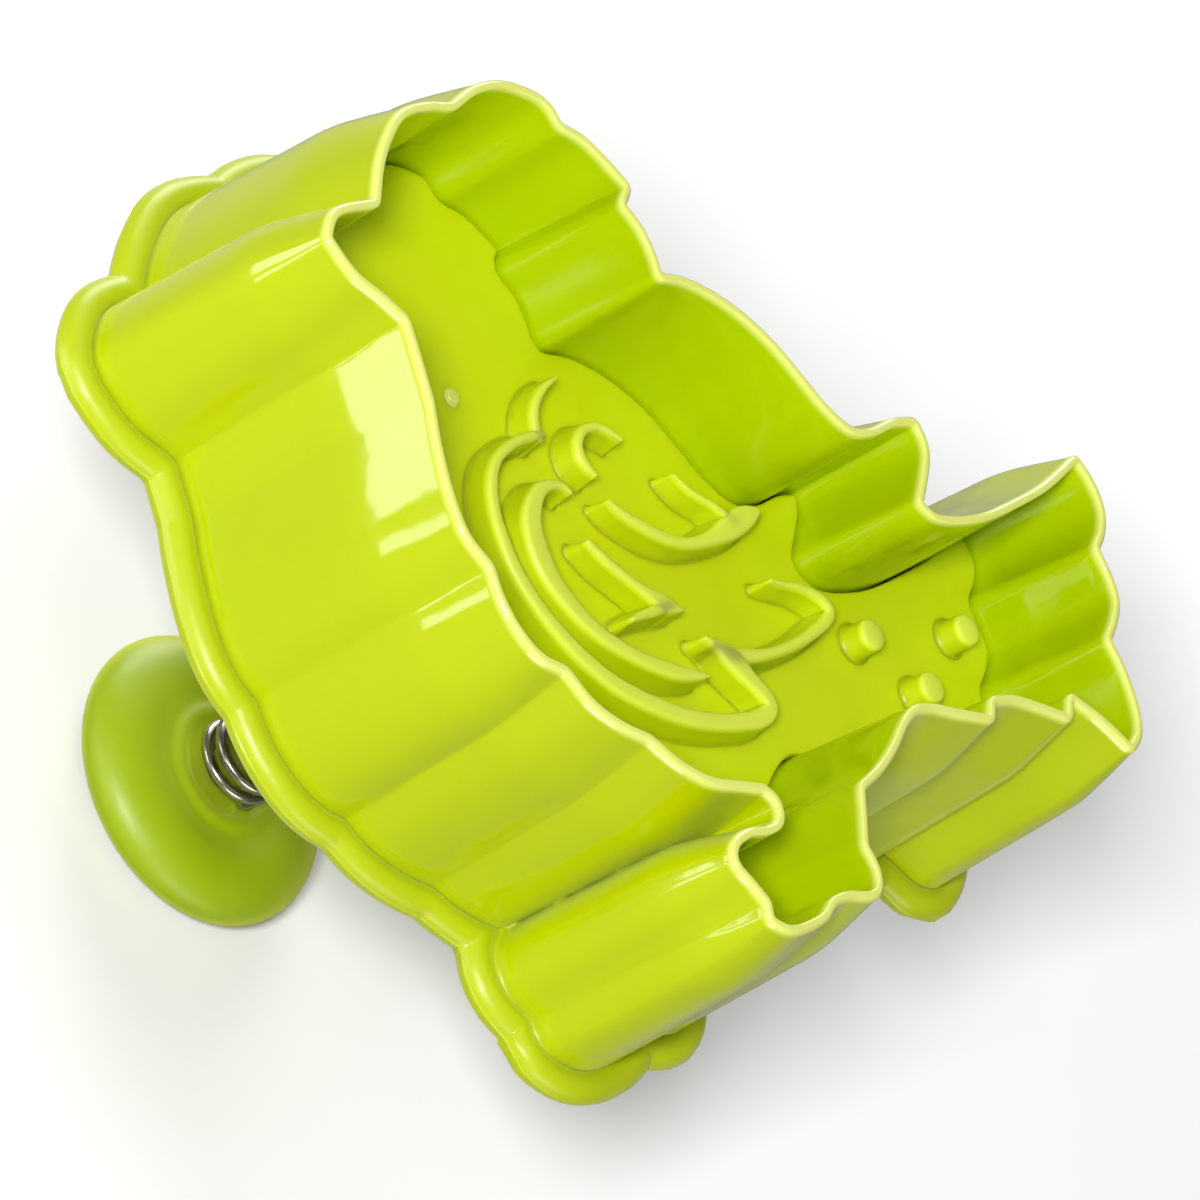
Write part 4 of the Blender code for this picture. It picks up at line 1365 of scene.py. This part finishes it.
@dataclass
class ReturnSpring:
    """The coil spring: one wire whose end curls nearly close."""

    radius: float = 0.0034
    wire: float = 0.0005
    low: float = 0.0058
    high: float = 0.03094
    turns: int = 11
    start_degrees: float = -78.0
    closing_share: float = 0.34
    per_turn: int = 40
    sides: int = 12
    sharp_degrees: float = 60.0

    # Sizes of the wire's last two rings at each end, which round its cropped end
    END_SIZES = (0.72, 0.97)

    def build(self) -> bpy.types.Object:
        """Build the wire's mesh, with a UV map in metres along and round the wire.

        Returns:
            The piece.
        """
        share = np.linspace(0.0, 1.0, self.turns * self.per_turn + 1)
        angle = math.radians(self.start_degrees) + 2 * math.pi * self.turns * share
        eased = share - self.closing_share * np.sin(2 * math.pi * share) / (2 * math.pi)
        height = self.low + (self.high - self.low) * eased
        centres = np.stack(
            [self.radius * np.cos(angle), self.radius * np.sin(angle), height], axis=1
        )
        forward = np.gradient(centres, axis=0)
        forward /= np.linalg.norm(forward, axis=1)[:, None]
        outwards = np.stack([np.cos(angle), np.sin(angle), np.zeros_like(angle)], axis=1)
        upwards = np.cross(outwards, forward)
        upwards /= np.linalg.norm(upwards, axis=1)[:, None]
        sizes = np.ones(len(share))
        sizes[[0, -1]], sizes[[1, -2]] = self.END_SIZES
        rounds = 2 * math.pi * np.arange(self.sides) / self.sides
        maker = MeshMaker()
        rings = [
            [
                tuple(c + self.wire * size * (o * math.cos(r) + u * math.sin(r)))
                for r in rounds
            ]
            for c, o, u, size in zip(centres, outwards, upwards, sizes)
        ]
        along = np.concatenate(
            [[0.0], np.cumsum(np.linalg.norm(np.diff(centres, axis=0), axis=1))]
        )
        maker.cap(*maker.skin(rings))
        maker.shape.verts.index_update()
        layer = maker.shape.loops.layers.uv.new("wire")
        girth = 2 * math.pi * self.wire
        for face in maker.shape.faces:
            places = [loop.vert.index % self.sides for loop in face.loops]
            is_seam = max(places) - min(places) > self.sides / 2
            for loop, place in zip(face.loops, places):
                turn = place + (self.sides if is_seam and place < self.sides / 2 else 0)
                row = loop.vert.index // self.sides
                loop[layer].uv = (along[row], girth * turn / self.sides)
        return maker.finish("coil_spring", self.sharp_degrees)


# ---- The studio


@dataclass
class SoftLight:
    """One rectangular soft light, aimed at a point."""

    name: str
    heading: Point
    distance: float
    width: float
    height: float
    power: float

    def build(self, aim: Vector) -> bpy.types.Object:
        """Place the light.

        Args:
            aim: The point that it faces.

        Returns:
            The light object.
        """
        lamp = bpy.data.lights.new(self.name, "AREA")
        lamp.shape = "RECTANGLE"
        lamp.size = self.width
        lamp.size_y = self.height
        lamp.energy = self.power
        item = bpy.data.objects.new(self.name, lamp)
        back = Vector(self.heading).normalized()
        item.location = aim + back * self.distance
        item.rotation_mode = "QUATERNION"
        item.rotation_quaternion = (-back).to_track_quat("-Z", "Y")
        item.visible_camera = False
        bpy.context.scene.collection.objects.link(item)
        return item


@dataclass
class Studio:
    """Floor, lights, surroundings and the camera at the photograph's angle."""

    aim: Point = (-0.00101, -0.00251, 0.0490)
    camera_azimuth: float = -60.0
    camera_elevation: float = 36.87
    camera_roll: float = 63.0
    camera_distance: float = 0.70928
    lens_mm: float = 270.0
    sensor_mm: float = 36.0
    clip: Span = (0.01, 50.0)
    surround: float = 0.14
    floor_drop: float = 0.0002
    floor_half: float = 6.0
    floor_squares: int = 8
    lights: tuple[SoftLight, ...] = (
        SoftLight("key_softbox", (-0.737, -0.327, 0.592), 1.1, 0.18, 0.18, 12.0),
        SoftLight("right_softbox", (-0.02, -0.98, 0.19), 0.8, 0.50, 0.20, 1.9),
        SoftLight("back_softbox", (0.25, 0.93, 0.22), 0.6, 0.40, 0.22, 2.1),
        SoftLight("overhead_softbox", (-0.12, 0.22, 0.97), 1.0, 0.90, 0.90, 1.7),
        SoftLight("left_card", (-0.96, 0.235, -0.13), 0.20, 0.09, 0.05, 0.085),
        SoftLight("left_strip", (-0.96, -0.17, -0.16), 0.20, 0.026, 0.05, 0.022),
    )

    def build_floor(self) -> bpy.types.Object:
        """Lay the floor under the button, with its far edges out of sight.

        Returns:
            The floor.
        """
        shape = bmesh.new()
        squares = self.floor_squares
        bmesh.ops.create_grid(shape, x_segments=squares, y_segments=squares, size=self.floor_half)
        mesh = bpy.data.meshes.new("studio_floor")
        shape.to_mesh(mesh)
        shape.free()
        floor = bpy.data.objects.new("studio_floor", mesh)
        floor.location.z = -self.floor_drop
        mesh.materials.append(MattStudioFloor().build())
        bpy.context.scene.collection.objects.link(floor)
        return floor

    def build_surround(self) -> None:
        """Light the surroundings plainly, and show them white."""
        world = bpy.data.worlds.new("white_studio")
        world.use_nodes = True
        nodes = Nodes(world.node_tree)
        rays = nodes.add("ShaderNodeLightPath").outputs
        seen = nodes.calculate("MAXIMUM", rays["Is Camera Ray"], rays["Is Transmission Ray"])
        white = {"Color": linear("#FFFFFF")}
        plain, full = (
            nodes.add("ShaderNodeBackground", white | {"Strength": strength})
            for strength in (self.surround, 1.0)
        )
        shaders = {0: seen, 1: plain.outputs[0], 2: full.outputs[0]}
        mixed = nodes.add("ShaderNodeMixShader", links=shaders)
        nodes.add("ShaderNodeOutputWorld", links={"Surface": mixed.outputs[0]})
        bpy.context.scene.world = world

    def build_camera(self) -> bpy.types.Object:
        """Place the camera at the photograph's angle.

        Returns:
            The camera object.
        """
        lens = bpy.data.cameras.new("photo_camera")
        lens.lens = self.lens_mm
        lens.sensor_width = self.sensor_mm
        lens.clip_start, lens.clip_end = self.clip
        camera = bpy.data.objects.new("photo_camera", lens)
        azimuth = math.radians(self.camera_azimuth)
        elevation = math.radians(self.camera_elevation)
        back = Vector(
            (
                math.sin(azimuth) * math.cos(elevation),
                -math.cos(azimuth) * math.cos(elevation),
                math.sin(elevation),
            )
        )
        roll = Quaternion((0, 0, 1), math.radians(self.camera_roll))
        camera.location = Vector(self.aim) + back * self.camera_distance
        camera.rotation_mode = "QUATERNION"
        camera.rotation_quaternion = (-back).to_track_quat("-Z", "Y") @ roll
        bpy.context.scene.collection.objects.link(camera)
        bpy.context.scene.camera = camera
        return camera

    def build(self) -> None:
        """Build the whole studio."""
        self.build_floor()
        self.build_surround()
        for light in self.lights:
            light.build(Vector(self.aim))
        self.build_camera()
        bpy.context.scene.view_settings.view_transform = "Standard"


# ---- Putting it together


def dress(
    piece: bpy.types.Object, node: str, body: Body, material: bpy.types.Material
) -> None:
    """Let a piece stand for a solid, move with its body and wear its finish.

    Args:
        piece: The piece.
        node: The solid that it stands for.
        body: The body that it rides on.
        material: Its finish.
    """
    piece.data.materials.append(material)
    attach(piece, body.value)
    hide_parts(node)
    LOG.info("%s: %d faces, on %s", piece.name, len(piece.data.polygons), body.value)


def main() -> None:
    """Build every piece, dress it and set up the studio."""
    logging.basicConfig(level=logging.INFO, format="%(name)s: %(message)s")
    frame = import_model()
    outline = HenOutline()
    LOG.info("outline: %d points", len(outline.points))
    # The cutter's thin cutting edge gets a painted glow and its round edges a painted sheen.
    gloss = MouldedAbs(
        "abs_lime_moulded_gloss", 0.10, 0.02, "#B3C100", "#ADBD00", rim_top_mm=39.4,
        rim_roughness=0.30, crest_glow_mm=(61.6, 62.4), crest_glow_share=0.7, edge_sheen_share=0.55,
    ).build()
    # The inner face's lime is a greener copy of the cutter's, painted shade for the hollow.
    inner_gloss_painted_shade = MouldedAbs(
        "abs_lime_moulded_gloss_inner_painted_shade", 0.12, 0.02, "#AFC500", "#A9C100",
        crest_glow_mm=(61.6, 62.4), crest_glow_share=0.7,
    ).build()
    # The stamp's lime is painted lighter than the cutter's, for more light on its face, with
    # painted shade on the sides of its lines and a painted highlight on their tops.
    stamp_satin_painted_light = MouldedAbs(
        "abs_lime_moulded_satin_painted_light", 0.42, 0.05, "#D6E400", "#CFE000", glow_weight=0.5,
        glow_depth_mm=2.0, crest_glow_mm=(50.9, 51.6), crest_glow_share=0.3, flank_shade_mm=(49.3, 51.0),
        flank_shade_hex="#C2D000",
    ).build()
    # The eye is drawn a pale lime, a painted highlight.
    eye_painted_highlight = MouldedAbs("abs_lime_eye_painted_highlight", 0.20, 0.02, "#E6EE78", "#E2EA6C").build()
    # The button's lime is painted darker, for the shade that the cutter casts on it, and its round
    # rim gets a broad painted sheen.
    soft = MouldedAbs(
        "abs_lime_button_painted_shade_and_sheen", 0.46, 0.04, "#98AE00", "#92AA00", glow_and_sheen_hex="#ECF25C",
        edge_sheen_share=0.8, edge_sheen_start=0.35,
    ).build()
    # The stem is the same lime plastic, drawn dark olive as painted shade for the inside of the
    # coil.
    stem_painted_shade = MouldedAbs("abs_lime_stem_painted_shade", 0.36, 0.05, "#6E7A0A", "#677308").build()
    steel = DrawnSpringSteel().build()

    moulding = CutterMoulding(outline).build()
    dress(moulding, "cutter_body", Body.CUTTER, gloss)
    moulding.data.materials.append(inner_gloss_painted_shade)
    stamp = Stamp(outline).build()
    dress(stamp, "stamp_plate", Body.PLUNGER, stamp_satin_painted_light)
    stamp.data.materials.append(eye_painted_highlight)
    dress(PushButton().build(), "button", Body.PLUNGER, soft)
    spring = ReturnSpring()
    coil = spring.build()
    dress(coil, "return_spring", Body.CUTTER, steel)
    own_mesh(coil)

    # Painted shade: the stem wears the dark olive finish.
    stem = frame["nodes"]["plunger_stem"]
    stem.data.materials.clear()
    stem.data.materials.append(stem_painted_shade)
    Studio().build()


if __name__ == "__main__":
    main()
